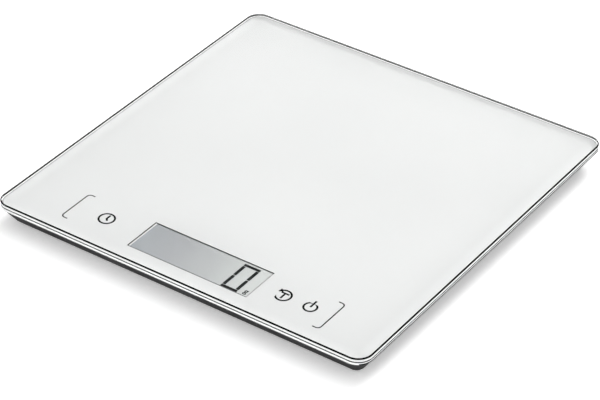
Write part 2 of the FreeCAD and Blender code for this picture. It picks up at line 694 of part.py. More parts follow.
def contact_tail(side):
    """Where a battery contact's tail leaves the box, across, as an expression."""
    return f"{side} * (Sizes.CoinX + Sizes.CoinRadius + Sizes.ContactThickness / 2)"


def add_button_hole(body):
    sketch = new_sketch(body, "button_hole", FLOOR_TOP)
    draw_circle(sketch, "Sizes.ButtonRadius + Sizes.ButtonClearance",
                "Sizes.ButtonX", "Sizes.DisplayY")
    pocket(body, sketch, "Sizes.FloorThickness")


def make_housing():
    body = new_body("housing")
    add_shell(body)
    add_foot_holes(body)
    add_bosses(body)
    add_ribs(body)
    add_cable_clips(body)
    add_buzzer_seat(body)
    add_battery_box(body)
    add_button_hole(body)


# ---------------------------------------------------------------- feet and load cells

def make_foot(corner, across, along):
    """A turned foot: seat for the pad, stem, flange and post."""
    body = new_body(f"foot_{corner}", at=(f"{across} * Sizes.FootX", f"{along} * Sizes.FootY"))
    profile = new_sketch(body, f"foot_profile_{corner}", plane="XZ_Plane")
    seat = "Sizes.FootPadHeight"
    under = "Sizes.FootPadHeight - Sizes.FootPadSeat"
    flange = f"({FLOOR_TOP} + Sizes.FootClearance)"
    shoulder = f"({flange} + Sizes.FootFlangeThickness)"
    pad_radius = "Sizes.FootPadRadius + Sizes.FootPadGap"
    draw_polygon(profile, [
        ("0", seat),
        (pad_radius, seat),
        (pad_radius, under),
        ("Sizes.FootRadius", under),
        ("Sizes.FootRadius", flange),
        ("Sizes.FootRadius + Sizes.FootFlange", flange),
        ("Sizes.FootRadius + Sizes.FootFlange", shoulder),
        ("Sizes.FootPostRadius", shoulder),
        ("Sizes.FootPostRadius", "Sizes.CellHeight"),
        ("0", "Sizes.CellHeight"),
    ])
    revolve(body, profile)


def make_foot_pad(corner, across, along):
    body = new_body(f"foot_pad_{corner}", at=(f"{across} * Sizes.FootX", f"{along} * Sizes.FootY"))
    outline = new_sketch(body, f"pad_outline_{corner}")
    draw_circle(outline, "Sizes.FootPadRadius")
    disc = pad(body, outline, "Sizes.FootPadHeight")
    doc.recompute()
    dress_edges(body, "Fillet", disc, edges_at_height(disc, 0, 0), "Radius", "Sizes.FootPadRound")


def make_load_cell(corner, across, along):
    """A steel plate with a slot that frees a tongue, whose root is towards the scale's middle."""
    body = new_body(
        f"load_cell_{corner}",
        at=(f"{across} * Sizes.FootX", f"{along} * Sizes.FootY"),
        turn=180 if across > 0 else 0,
    )
    outline = new_sketch(body, f"cell_outline_{corner}", "Sizes.CellHeight")
    draw_rounded_square(outline, "Sizes.CellSide", "Sizes.CellFrame / 2")
    pad(body, outline, "Sizes.CellThickness")
    slot = new_sketch(body, f"cell_slot_{corner}", CELL_TOP)
    reach = "(Sizes.CellSide / 2 - Sizes.CellFrame)"
    root = f"({reach} - Sizes.CellFrame / 2)"
    half_tongue = "(Sizes.TongueWidth / 2)"
    draw_polygon(slot, [
        (root, reach),
        (f"-{reach}", reach),
        (f"-{reach}", f"-{reach}"),
        (root, f"-{reach}"),
        (root, f"-{half_tongue}"),
        (f"Sizes.CellSlot - {reach}", f"-{half_tongue}"),
        (f"Sizes.CellSlot - {reach}", half_tongue),
        (root, half_tongue),
    ])
    pocket(body, slot, "Sizes.CellThickness")


def make_strain_gauges():
    pieces = []
    for corner, across, along in CORNERS:
        root = "(Sizes.FootX - Sizes.CellSide / 2 + 2 * Sizes.CellFrame)"
        pieces.append(centred_box(
            f"gauge_{corner}", "Sizes.GaugeLength", "Sizes.GaugeWidth", "Sizes.GaugeThickness",
            f"{across} * {root}", f"{along} * Sizes.FootY", CELL_TOP))
    sub_part(group("strain_gauges", pieces))


def make_cell_holder(corner, across, along):
    """A plastic frame that carries a load cell and is screwed to two bosses."""
    body = new_body(
        f"cell_holder_{corner}",
        at=(f"{across} * Sizes.FootX", f"{along} * Sizes.FootY"),
    )
    block = new_sketch(body, f"holder_block_{corner}", FLOOR_TOP)
    draw_rounded_square(block, "Sizes.HolderSide", "Sizes.CellFrame / 2")
    pad(body, block, f"{CELL_TOP} - {FLOOR_TOP}")
    ears = new_sketch(body, f"holder_ears_{corner}", "Sizes.CellHeight")
    for side in (-1, 1):
        draw_rectangle(ears, "2 * Sizes.EarRadius",
                       "Sizes.EarReach + Sizes.EarRadius - Sizes.HolderSide / 2 + Sizes.EarRoot",
                       along=f"{side} * (Sizes.EarReach + Sizes.EarRadius"
                             f" + Sizes.HolderSide / 2 - Sizes.EarRoot) / 2")
    pad(body, ears, "Sizes.EarThickness")
    screw_holes = new_sketch(body, f"holder_holes_{corner}", CELL_TOP)
    for side in (-1, 1):
        draw_circle(screw_holes, "Sizes.ScrewRadius", along=f"{side} * Sizes.EarReach")
    pocket(body, screw_holes, "Sizes.CellThickness")
    bed = new_sketch(body, f"cell_bed_{corner}", CELL_TOP)
    draw_rounded_square(bed, "Sizes.CellSide + 2 * Sizes.HolderGap", "Sizes.CellFrame / 2")
    pocket(body, bed, "Sizes.CellThickness")
    bore = new_sketch(body, f"holder_bore_{corner}", CELL_TOP)
    draw_circle(bore, "Sizes.HolderBore")
    pocket(body, bore, f"{CELL_TOP} - {FLOOR_TOP}")


# ---------------------------------------------------------------- display and electronics

def make_display():
    front = centred_box("display_front_glass", "Sizes.DisplayWidth", "Sizes.DisplayDepth",
                        "Sizes.DisplayGlass", "0", "Sizes.DisplayY", REAR_GLASS_TOP)
    rear = centred_box("display_rear_glass", "Sizes.DisplayWidth", "Sizes.DisplayRearDepth",
                       "Sizes.DisplayGlass", "0", "Sizes.DisplayY", REAR_GLASS_BOTTOM)
    sub_part(fused("display_panel", [front, rear]))
    sub_part(centred_box("display_reflector", "Sizes.StripLength", "Sizes.DisplayRearDepth",
                         "Sizes.ReflectorThickness", "0", "Sizes.DisplayY",
                         f"{REAR_GLASS_BOTTOM} - Sizes.ReflectorThickness"))
    for name, side in (("front", -1), ("rear", 1)):
        sub_part(centred_box(f"contact_strip_{name}", "Sizes.StripLength", "Sizes.StripWidth",
                             f"{REAR_GLASS_TOP} - {BOARD_TOP}", "0",
                             f"Sizes.DisplayY + {side} * Sizes.StripOffset", BOARD_TOP))


def make_display_frame():
    """The frame that presses the display's contact strips on the board."""
    body = new_body("display_frame", at=("0", "Sizes.DisplayY"))
    width = "(Sizes.DisplayWidth + 2 * Sizes.FrameGap)"
    depth = "(Sizes.DisplayDepth + 2 * Sizes.FrameGap)"
    ring = new_sketch(body, "frame_ring", BOARD_TOP)
    draw_rectangle(ring, f"{width} + 2 * Sizes.FrameWall", f"{depth} + 2 * Sizes.FrameWall")
    draw_rectangle(ring, width, depth)
    pad(body, ring, f"{DISPLAY_TOP} - {BOARD_TOP}")
    ears = new_sketch(body, "frame_ears", BOARD_TOP)
    for across in (-1, 1):
        for along in (-1, 1):
            draw_rectangle(ears, "Sizes.FrameEarWidth", "Sizes.FrameEarWidth",
                           f"{across} * Sizes.FrameEarX", f"{along} * Sizes.FrameEarY")
    pad(body, ears, "Sizes.EarThickness")
    holes = new_sketch(body, "frame_holes", f"{BOARD_TOP} + Sizes.EarThickness")
    for across in (-1, 1):
        for along in (-1, 1):
            draw_circle(holes, "Sizes.ScrewRadius",
                        f"{across} * Sizes.FrameEarX", f"{along} * Sizes.FrameEarY")
    pocket(body, holes, "Sizes.EarThickness")


def make_main_board():
    body = new_body("main_board", at=("0", "Sizes.DisplayY"))
    outline = new_sketch(body, "board_outline", "Sizes.BoardHeight")
    draw_rectangle(outline, "Sizes.BoardWidth", "Sizes.BoardDepth")
    for across in (-1, 1):
        for along in (-1, 1):
            draw_circle(outline, "Sizes.ScrewRadius",
                        f"{across} * Sizes.FrameEarX", f"{along} * Sizes.FrameEarY")
    pad(body, outline, "Sizes.BoardThickness")


def make_board_parts():
    """The chip, the crystal and the small switch, all on the board's underside."""
    sub_part(centred_box("controller_chip", "Sizes.ChipSide", "Sizes.ChipSide",
                         "Sizes.ChipHeight", "Sizes.ChipX", "Sizes.DisplayY",
                         "Sizes.BoardHeight - Sizes.ChipHeight"))
    crystal = sub_part(doc.addObject("Part::Cylinder", "quartz_crystal"))
    crystal.Placement.Rotation = FreeCAD.Rotation(Vector(0, 1, 0), 90)
    bind(crystal, {
        "Radius": "Sizes.CrystalRadius",
        "Height": "Sizes.CrystalLength",
        "Placement.Base.x": "Sizes.CrystalX",
        "Placement.Base.y": "Sizes.DisplayY",
        "Placement.Base.z": "Sizes.BoardHeight - Sizes.CrystalRadius",
    })
    case = centred_box("switch_case", "Sizes.SwitchSide", "Sizes.SwitchSide",
                       "Sizes.SwitchHeight", "Sizes.ButtonX", "Sizes.DisplayY",
                       "Sizes.BoardHeight - Sizes.SwitchHeight")
    plunger = upright_cylinder(
        "switch_plunger", "Sizes.SwitchPlungerRadius",
        "Sizes.SwitchPlungerHeight", "Sizes.ButtonX", "Sizes.DisplayY",
        "Sizes.BoardHeight - Sizes.SwitchHeight - Sizes.SwitchPlungerHeight")
    sub_part(fused("unit_switch", [case, plunger]))


def make_touch_springs():
    """Coil springs that carry each touch mark's signal from the board up to the glass."""
    wire = amount("Sizes.TouchSpringWire")
    low = amount(BOARD_TOP) + wire
    rise = amount(PRINT_BOTTOM) - wire - low
    turns = int(amount("Sizes.TouchSpringTurns"))
    route = coiled_route(amount("Sizes.TouchSpringRadius"), turns, rise)
    for name, across in TOUCH_MARKS:
        shaped(f"touch_spring_{name}", round_wire(route, wire),
               at=Vector(amount(across), amount("Sizes.DisplayY"), low))


def make_buzzer():
    disc = upright_cylinder("buzzer_brass", "Sizes.BuzzerRadius", "Sizes.BuzzerThickness",
                            "Sizes.BuzzerX", "Sizes.BuzzerY", BUZZER_SEAT)
    ceramic = upright_cylinder("buzzer_ceramic", "Sizes.CeramicRadius",
                               "Sizes.BuzzerThickness / 2", "Sizes.BuzzerX", "Sizes.BuzzerY",
                               f"{BUZZER_SEAT} + Sizes.BuzzerThickness")
    sub_part(fused("buzzer_disc", [disc, ceramic]))


# ---------------------------------------------------------------- wiring

def make_cell_cables():
    """The load cells' cables: short at the front, and along the side walls from the rear."""
    radius = amount("Sizes.CableRadius")
    above_cell = amount(f"{CELL_TOP} + Sizes.CableRadius + Sizes.WireLift")
    on_floor = amount(f"{FLOOR_TOP} + Sizes.CableRadius + Sizes.WireLift")
    board_rear = amount(BOARD_REAR)
    over_board = board_rear - amount("Sizes.BoardOverlap - 1")
    lane = amount("Sizes.CableX")
    gauge_end = amount("Sizes.FootX - Sizes.CellSide / 2 + Sizes.CellFrame")
    rear_exit = amount("Sizes.FootY - Sizes.GaugeWidth + 1")
    bend = amount("Sizes.CableBend")
    front_route = [
        (gauge_end - 1, over_board - 2, above_cell),
        (gauge_end - bend, over_board, above_cell),
        (gauge_end - 1.5 * bend, over_board, above_cell),
    ]
    rear_route = [
        (gauge_end - 1, rear_exit, above_cell),
        (gauge_end - bend, rear_exit, above_cell),
        (lane + 3, rear_exit - bend / 2, on_floor),
        (lane, rear_exit - 2 * bend, on_floor),
        (lane, board_rear + 1.5 * bend, on_floor),
        (lane + 2, board_rear + bend / 2, above_cell),
        (lane + 2, over_board, above_cell),
    ]
    for corner, across, along in CORNERS:
        route = front_route if along < 0 else rear_route
        mirrored = [(across * x, y, z) for x, y, z in route]
        shaped(f"cell_cable_{corner}", round_wire(rounded_route(mirrored), radius))


def make_battery_leads():
    """Two leads from the battery contacts' tails, side by side to the board's left end."""
    radius = amount("Sizes.LeadRadius")
    tail = amount(contact_tail(1))
    over_box = amount("Sizes.BoxHeight + Sizes.LeadRadius + Sizes.WireLift")
    on_floor = amount(f"{FLOOR_TOP} + Sizes.LeadRadius + Sizes.WireLift")
    over_board = amount(f"{BOARD_TOP} + Sizes.LeadRadius + Sizes.WireLift")
    middle = amount("Sizes.BatteryY")
    board_rear = amount(BOARD_REAR)
    board_end = board_rear - amount("Sizes.BoardOverlap")
    box_left = -amount("Sizes.DoorWidth / 2 + Sizes.BoxWall")
    black_lane = -amount("Sizes.LeadX")
    red_lane = black_lane - amount("Sizes.LeadPitch")
    bend = amount("Sizes.LeadBend")
    leads = [
        ("black", -tail - 1, middle - bend / 2, black_lane),
        ("red", tail - 1, middle + 1.25 * bend, red_lane),
    ]
    for name, start, along, lane in leads:
        route = [
            (start, along, over_box),
            (box_left - 0.75 * bend, along, over_box),
            (box_left - 2 * bend, along, on_floor),
            (lane + bend, along, on_floor),
            (lane, along - 2 * bend, on_floor),
            (lane, board_rear + 3 * bend, on_floor),
            (lane, board_rear + bend, over_board),
            (lane, board_end, over_board),
        ]
        shaped(f"battery_lead_{name}", round_wire(rounded_route(route), radius))


def make_buzzer_leads():
    """Two leads from the buzzer, side by side to the board's right end."""
    radius = amount("Sizes.LeadRadius")
    on_buzzer = amount(f"{BUZZER_SEAT} + 1.5 * Sizes.BuzzerThickness + Sizes.LeadRadius")
    over_board = amount(f"{BOARD_TOP} + Sizes.LeadRadius + Sizes.WireLift")
    board_rear = amount(BOARD_REAR)
    board_end = board_rear - amount("Sizes.BoardOverlap")
    start = amount("Sizes.BuzzerX + Sizes.LeadPitch")
    outer_lane = amount("Sizes.BuzzerX + Sizes.BuzzerLeadReach")
    pitch = amount("Sizes.LeadPitch")
    bend = amount("Sizes.LeadBend")
    wires = []
    for step in (0, 1):
        lane = outer_lane - step * pitch
        level = amount("Sizes.BuzzerY") - step * bend
        route = [
            (start, level, on_buzzer),
            (lane - bend, level, on_buzzer),
            (lane, level - 1.5 * bend, on_buzzer),
            (lane, board_rear + bend, over_board),
            (lane, board_end, over_board),
        ]
        wires.append(round_wire(rounded_route(route), radius))
    shaped("buzzer_leads", Part.makeCompound(wires))


# ---------------------------------------------------------------- batteries, door and button

def make_coin_cells():
    for name, side in (("left", -1), ("right", 1)):
        body = new_body(f"coin_cell_{name}", at=(f"{side} * Sizes.CoinX", "Sizes.BatteryY"))
        profile = new_sketch(body, f"coin_profile_{name}", plane="XZ_Plane")
        lid_radius = "Sizes.CoinRadius - Sizes.CoinLidInset"
        lid_base = f"({COIN_TOP} - Sizes.CoinLidHeight)"
        draw_polygon(profile, [
            ("0", "Sizes.CoinHeight"),
            ("Sizes.CoinRadius", "Sizes.CoinHeight"),
            ("Sizes.CoinRadius", lid_base),
            (lid_radius, lid_base),
            (lid_radius, COIN_TOP),
            ("0", COIN_TOP),
        ])
        revolve(body, profile)


def make_battery_contacts():
    """Sprung strips: one on each cell's lid, one at each cell's rim, with the inner two joined."""
    thickness = amount("Sizes.ContactThickness")
    width = amount("Sizes.ContactWidth")
    edge = Vector(0, amount("Sizes.BatteryY - Sizes.ContactWidth / 2"), 0)
    roof = amount(BAY_TOP) - thickness / 2
    tail_top = amount("Sizes.BoxHeight + Sizes.ContactTail")
    lid = amount(COIN_TOP) + thickness / 2
    leg_bottom = amount("Sizes.CoinHeight + Sizes.ContactLift")
    tail = amount(contact_tail(1))
    cell_rim = amount("Sizes.CoinX - Sizes.CoinRadius")
    coin = amount("Sizes.CoinX")
    bend = amount("Sizes.ContactBend")
    tip = amount("Sizes.ContactTip")
    tip_height = lid + amount("Sizes.ContactLift")
    bridge_leg = thickness / 2 - cell_rim
    strips = {
        "negative": [(-tail, tail_top), (-tail, roof), (-coin - bend, roof), (-coin, lid),
                     (-coin + tip, tip_height)],
        "bridge": [(bridge_leg, leg_bottom), (bridge_leg, roof),
                   (coin - bend, roof), (coin, lid), (coin + tip, tip_height)],
        "positive": [(tail, leg_bottom), (tail, tail_top)],
    }
    for name, centre_line in strips.items():
        shaped(f"battery_contact_{name}", bent_strip(centre_line, thickness, width), at=edge)


def make_battery_door():
    """The door: a plate, two hinge tabs at its back, a spring latch and two cell rests."""
    body = new_body("battery_door")
    plate = new_sketch(body, "door_plate", FLOOR_BOTTOM)
    draw_rectangle(plate, "Sizes.DoorWidth", "Sizes.DoorDepth", along="Sizes.BatteryY")
    pad(body, plate, "Sizes.DoorThickness")
    tabs = new_sketch(body, "door_tabs", f"{FLOOR_BOTTOM} + Sizes.LipThickness + Sizes.TabLift")
    for side in (-1, 1):
        draw_rectangle(tabs, "Sizes.TabWidth", "Sizes.TabRoot + Sizes.TabReach",
                       f"{side} * Sizes.TabX",
                       f"{DOOR_BACK} + (Sizes.TabReach - Sizes.TabRoot) / 2")
    pad(body, tabs, "Sizes.TabThickness")
    latch = new_sketch(body, "door_latch", DOOR_TOP)
    draw_rectangle(latch, "Sizes.LatchWidth", "Sizes.LatchThickness",
                   along=f"{DOOR_FRONT} + Sizes.LatchThickness")
    pad(body, latch, "Sizes.LatchHeight")
    rests = new_sketch(body, "cell_rests", DOOR_TOP)
    for side in (-1, 1):
        draw_circle(rests, "Sizes.CoinRadius / 2", f"{side} * Sizes.CoinX", "Sizes.BatteryY")
    pad(body, rests, f"Sizes.CoinHeight - {DOOR_TOP}")
    grip = new_sketch(body, "door_grip", FLOOR_BOTTOM)
    for step in (0, 1, 2):
        draw_rectangle(grip, "Sizes.LatchWidth", "Sizes.GripWidth",
                       along=f"{DOOR_FRONT} + Sizes.GripInset + {step} * Sizes.GripPitch")
    pocket(body, grip, "Sizes.GripDepth", upwards=True)


def make_unit_button():
    body = new_body("unit_button", at=("Sizes.ButtonX", "Sizes.DisplayY"))
    profile = new_sketch(body, "button_profile", plane="XZ_Plane")
    face = f"({FLOOR_BOTTOM} - Sizes.ButtonStandOut)"
    flange = f"({FLOOR_TOP} + Sizes.ButtonPlay)"
    top = f"({flange} + Sizes.ButtonFlangeThickness)"
    draw_polygon(profile, [
        ("0", face),
        ("Sizes.ButtonRadius - Sizes.ButtonBevel", face),
        ("Sizes.ButtonRadius", f"{face} + Sizes.ButtonBevel"),
        ("Sizes.ButtonRadius", flange),
        ("Sizes.ButtonRadius + Sizes.ButtonFlange", flange),
        ("Sizes.ButtonRadius + Sizes.ButtonFlange", top),
        ("0", top),
    ])
    revolve(body, profile)


# ---------------------------------------------------------------- fasteners and label

def crossed_screw(name, across, along, seat, grip):
    """A pan-head screw standing on its seat, with a cross in its head."""
    shank_length = f"({grip} + Sizes.ScrewReach)"
    head = upright_cylinder(f"{name}_head", "Sizes.ScrewHeadRadius", "Sizes.ScrewHeadHeight",
                            across, along, seat)
    shank = upright_cylinder(f"{name}_shank", "Sizes.ScrewRadius", shank_length,
                             across, along, f"{seat} - {shank_length}")
    solid = fused(f"{name}_solid", [head, shank])
    slot_base = f"{seat} + Sizes.ScrewHeadHeight - Sizes.ScrewSlotDepth"
    arms = [
        centred_box(f"{name}_arm_x", "Sizes.ScrewSlotLength", "Sizes.ScrewSlotWidth",
                    "Sizes.ScrewSlotDepth", across, along, slot_base),
        centred_box(f"{name}_arm_y", "Sizes.ScrewSlotWidth", "Sizes.ScrewSlotLength",
                    "Sizes.ScrewSlotDepth", across, along, slot_base),
    ]
    return cut_away(name, solid, arms)


def make_screws():
    holder, board = screw_places()
    holder_screws = []
    for number, (across, along) in enumerate(holder, start=1):
        holder_screws.append(crossed_screw(
            f"holder_screw_{number}", across, along,
            "Sizes.CellHeight + Sizes.EarThickness", "Sizes.EarThickness"))
    sub_part(group("holder_screws", holder_screws))
    board_screws = []
    for number, (across, along) in enumerate(board, start=1):
        board_screws.append(crossed_screw(
            f"board_screw_{number}", across, along,
            f"{BOARD_TOP} + Sizes.EarThickness",
            "(Sizes.EarThickness + Sizes.BoardThickness)"))
    sub_part(group("board_screws", board_screws))


def make_label():
    sub_part(centred_box("blank_label", "Sizes.LabelWidth", "Sizes.LabelDepth",
                         "Sizes.LabelThickness", "0", "Sizes.LabelY",
                         f"{FLOOR_BOTTOM} - Sizes.LabelThickness"))


# ---------------------------------------------------------------- checks and files

def check_document():
    """Stop if any object failed, if a cut removed nothing, or if a sub-part isn't sound."""
    for thing in doc.Objects:
        if "Invalid" in thing.State or "Error" in thing.State:
            raise RuntimeError(f"{thing.Name} failed: {thing.State}")
        cuts = ("PartDesign::Pocket", "PartDesign::SubtractiveLoft")
        if thing.TypeId in cuts and thing.BaseFeature.Shape.Volume <= thing.Shape.Volume:
            raise RuntimeError(f"{thing.Name} cut nothing away")
    for thing in sub_parts:
        if thing.Shape.isNull() or not thing.Shape.isValid():
            raise RuntimeError(f"{thing.Label} has no sound shape")


def write_files():
    os.makedirs("parts", exist_ok=True)
    for thing in sub_parts:
        thing.Shape.exportStep(os.path.join("parts", f"{thing.Label}.step"))


def make_corner_parts():
    """A foot, its pad, its load cell and the cell's holder at each corner."""
    for corner, across, along in CORNERS:
        make_foot(corner, across, along)
        make_foot_pad(corner, across, along)
        make_load_cell(corner, across, along)
        make_cell_holder(corner, across, along)


make_glass_plate()
make_plate_print()
make_tape_frame()
make_housing()
make_corner_parts()
make_strain_gauges()
make_display()
make_display_frame()
make_main_board()
make_board_parts()
make_touch_springs()
make_buzzer()
make_buzzer_leads()
make_cell_cables()
make_coin_cells()
make_battery_contacts()
make_battery_leads()
make_battery_door()
make_unit_button()
make_screws()
make_label()

doc.recompute()
check_document()
write_files()
for thing in sub_parts:
    print(f"{thing.Label}: {len(thing.Shape.Solids)} solid(s), {thing.Shape.Volume:.1f} mm3")
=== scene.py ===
import json
import math

import bmesh
import bpy
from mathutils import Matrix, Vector


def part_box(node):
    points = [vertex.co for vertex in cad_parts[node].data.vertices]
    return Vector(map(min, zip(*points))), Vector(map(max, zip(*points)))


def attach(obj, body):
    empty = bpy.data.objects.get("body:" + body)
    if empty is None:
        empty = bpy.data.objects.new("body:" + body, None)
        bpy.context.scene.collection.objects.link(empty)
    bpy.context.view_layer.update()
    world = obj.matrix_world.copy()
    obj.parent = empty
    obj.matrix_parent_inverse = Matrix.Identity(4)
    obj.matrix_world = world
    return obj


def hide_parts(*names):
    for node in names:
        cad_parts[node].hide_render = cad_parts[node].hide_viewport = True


# A slim square kitchen scale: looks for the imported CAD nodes, and the pieces that need finer
# shapes than the CAD has, which are the glass, the printed marks, the digits and the feet.
# Metres, in the frame's own axes: +Z up, the display and the touch marks are on -Y.

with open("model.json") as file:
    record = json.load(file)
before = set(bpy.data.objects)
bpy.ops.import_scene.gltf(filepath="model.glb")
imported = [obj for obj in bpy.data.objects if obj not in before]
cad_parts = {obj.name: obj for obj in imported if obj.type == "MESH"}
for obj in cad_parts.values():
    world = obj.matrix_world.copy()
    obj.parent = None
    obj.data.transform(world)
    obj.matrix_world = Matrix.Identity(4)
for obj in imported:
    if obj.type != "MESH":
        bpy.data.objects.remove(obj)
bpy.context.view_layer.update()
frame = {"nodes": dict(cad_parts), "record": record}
nodes = frame["nodes"]

MM = 0.001
UP = Vector((0, 0, 1))
ROOT = "scale"
CORNERS = ("front_left", "front_right", "rear_left", "rear_right")

# Glass plate
PLATE_CORNER = 10 * MM
CORNER_STEPS = 24
ARRIS = 0.78 * MM
LOWER_ARRIS = 0.25 * MM
SEAM_DROP = 2.25 * MM
SEAM_HEIGHT = 0.8 * MM
# height of the dark strip of painted shade at the foot of the left and right edges
FOOT_STRIP = 1.1 * MM
GLASS_OVERLAP = 0.05 * MM
GLASS_INDEX = 1.52

# Print under the glass: the width of its rim, painted paler as painted light, and a pale grey line of
# painted shade along its border
PRINT_RIM = 9 * MM
PRINT_MARGIN = 1 * MM
RIM_LINE = 1 * MM
RIM_SHADE = 0.6

# Printed marks
INK_HEIGHT = 0.05 * MM
INK_SINK = 0.02 * MM
ICON_LINE = 1.3 * MM
RING_STEPS = 64
BRACKET_X = 96.7 * MM
BRACKET_SHIFT = 1.2 * MM
BRACKET_HEIGHT = 28.4 * MM
BRACKET_ARM = 5.2 * MM
BRACKET_REACH = 4 * BRACKET_ARM
BRACKET_LINE = 0.85 * MM
BRACKET_RADIUS = 2.8 * MM
BRACKET_STEPS = 8

# Icons: a length without a unit is a share of the icon's radius
CLOCK_RADIUS = 5.7 * MM
CLOCK_LONG_HAND = 0.56
CLOCK_SHORT_HAND = 0.72 * CLOCK_LONG_HAND
CLOCK_HOUR = math.radians(-50)
TARE_RADIUS = 5.6 * MM
TARE_GAP_MIDDLE = math.radians(183)
TARE_GAP_DEPTH = 0.72
TARE_ARROW = 1.5 * ICON_LINE
LETTER_TOP = 0.38
LETTER_DROP = 0.08
POWER_RADIUS = 4.75 * MM
POWER_GAP_DEPTH = 0.78
POWER_STEM = 1.4

# Display window, with lines of painted shade round it; the border line on its left stands a step away from
# it
WINDOW_X = 1.8 * MM
WINDOW_WIDTH = 86.6 * MM
WINDOW_INSET = 2.15 * MM
BORDER_LINE = 0.8 * MM
BORDER_STEP = 1.1 * MM
FINE_LINE = 0.7 * MM
FRONT_SHADE = 0.16
RIGHT_SHADE = 0.35
# reach of the painted reflection across the display, each side of its middle
DISPLAY_REFLECTION_SPAN = 44 * MM

# Digit and unit on the display
DIGIT_WIDTH = 11.9 * MM
DIGIT_HEIGHT = 25.8 * MM
DIGIT_CENTRE_X = 31.9 * MM
DIGIT_OFFSET_Y = -0.7 * MM
SEGMENT_LINE = 2.2 * MM
SEGMENT_GAP = 0.25 * MM
SEGMENT_POINT = 0.15 * SEGMENT_LINE
SEGMENT_HEIGHT = 0.03 * MM
UNIT_X = 42.4 * MM
UNIT_OFFSET_Y = -11.2 * MM
UNIT_SIZE = 6 * MM
UNIT_WEIGHT = 0.12 * MM

# Rubber pads under the feet
SOLE_STEP = 0.16
GROOVE_DEPTH = 0.35 * MM
SOLE_EDGE = 0.12 * MM
SOLE_SLACK = 0.01 * MM

# Studio
FLOOR_REACH = 6
FLOOR_GLOW = 0.3
SKY = 1.0
SKY_DIM = 0.12
SKY_AXIS = Vector((0.3, -0.42, 0.86)).normalized()
SKY_FADE = (0.14, 0.5)
KEY_POWER = 122
KEY_SIZE = 2.2
KEY_PLACE = (0.1, 3.2, 2.8)
CAMERA_AIM = Vector((16.75, -28.24, 18.0)) * MM
CAMERA_AZIMUTH = math.radians(35.23)
CAMERA_ELEVATION = math.radians(35.61)
CAMERA_DISTANCE = 1.58
CAMERA_LENS = 153.75
CAMERA_SENSOR = 36


# ---------------------------------------------------------------- selecting and shaping

def deselect_all():
    """Nothing is selected and nothing is active."""
    for thing in bpy.context.selected_objects:
        thing.select_set(False)
    bpy.context.view_layer.objects.active = None


def take(piece):
    """Only this piece is selected, and it is the active one."""
    deselect_all()
    piece.select_set(True)
    bpy.context.view_layer.objects.active = piece


def settle(piece):
    """Puts a piece's place, turn and size into its mesh."""
    take(piece)
    bpy.ops.object.transform_apply(location=True, rotation=True, scale=True)
    return piece


def block(name, low, high):
    """A box between two corners."""
    low = Vector(low)
    high = Vector(high)
    deselect_all()
    bpy.ops.mesh.primitive_cube_add(size=1, location=(low + high) / 2)
    piece = bpy.context.object
    piece.name = name
    piece.scale = high - low
    return settle(piece)


def disc(name, radius, centre, steps=RING_STEPS):
    """A flat round face."""
    deselect_all()
    bpy.ops.mesh.primitive_circle_add(vertices=steps, radius=radius, fill_type="NGON", location=centre)
    piece = bpy.context.object
    piece.name = name
    return settle(piece)


def sheet(name, low, high):
    """A flat rectangular face between two corners at one height."""
    low = Vector(low)
    high = Vector(high)
    deselect_all()
    bpy.ops.mesh.primitive_plane_add(size=1, location=(low + high) / 2)
    piece = bpy.context.object
    piece.name = name
    piece.scale = (high.x - low.x, high.y - low.y, 1)
    return settle(piece)


def edit(piece, kind):
    """Opens a piece in edit mode with nothing selected, for faces, edges or vertices."""
    take(piece)
    bpy.ops.object.mode_set(mode="EDIT")
    bpy.ops.mesh.select_mode(type=kind)
    bpy.ops.mesh.select_all(action="DESELECT")
    return bmesh.from_edit_mesh(piece.data)


def done(piece):
    """Closes edit mode."""
    bpy.ops.object.mode_set(mode="OBJECT")
    return piece


def pick(piece, items, wanted):
    """Selects the faces, edges or vertices that pass a test."""
    for item in items:
        if wanted(item):
            item.select_set(True)
    bmesh.update_edit_mesh(piece.data)


def edge_run(edge):
    """Unit direction of an edge."""
    return (edge.verts[1].co - edge.verts[0].co).normalized()


def at_height(level, slack):
    """A test that an edge lies at one height."""
    return lambda edge: all(abs(vert.co.z - level) < slack for vert in edge.verts)


def bevel_edges(piece, wanted, width, steps=1):
    """Bevels the edges that pass a test."""
    mesh = edit(piece, "EDGE")
    pick(piece, mesh.edges, wanted)
    bpy.ops.mesh.bevel(offset=width, segments=steps, affect="EDGES", clamp_overlap=True)
    return done(piece)


def round_corners(piece, radius, steps):
    """Rounds the upright edges of a block."""
    return bevel_edges(piece, lambda edge: abs(edge_run(edge).z) > 0.9, radius, steps)


def round_flat_corners(piece, radius, steps):
    """Rounds the corners of a flat sheet."""
    edit(piece, "VERT")
    bpy.ops.mesh.select_all(action="SELECT")
    bpy.ops.mesh.bevel(offset=radius, segments=steps, affect="VERTICES")
    return done(piece)


def hollow(piece, line):
    """Leaves a border of one line's width of a flat face."""
    edit(piece, "FACE")
    bpy.ops.mesh.select_all(action="SELECT")
    bpy.ops.mesh.inset(thickness=line, use_even_offset=True)
    bpy.ops.mesh.delete(type="FACE")
    return done(piece)


def trim(piece, place, normal):
    """Cuts a piece along a plane and drops the side that the normal points to."""
    edit(piece, "FACE")
    bpy.ops.mesh.select_all(action="SELECT")
    bpy.ops.mesh.bisect(plane_co=place, plane_no=normal, clear_outer=True, clear_inner=False)
    return done(piece)


def score(piece, height):
    """Cuts edges into a piece at one height and keeps both sides."""
    edit(piece, "FACE")
    bpy.ops.mesh.select_all(action="SELECT")
    bpy.ops.mesh.bisect(plane_co=(0, 0, height), plane_no=UP)
    return done(piece)


def thicken(piece, height):
    """Raises a flat shape to a slab."""
    edit(piece, "FACE")
    bpy.ops.mesh.select_all(action="SELECT")
    bpy.ops.mesh.extrude_region_move(TRANSFORM_OT_translate={"value": (0, 0, height)})
    bpy.ops.mesh.select_all(action="SELECT")
    bpy.ops.mesh.normals_make_consistent(inside=False)
    return done(piece)


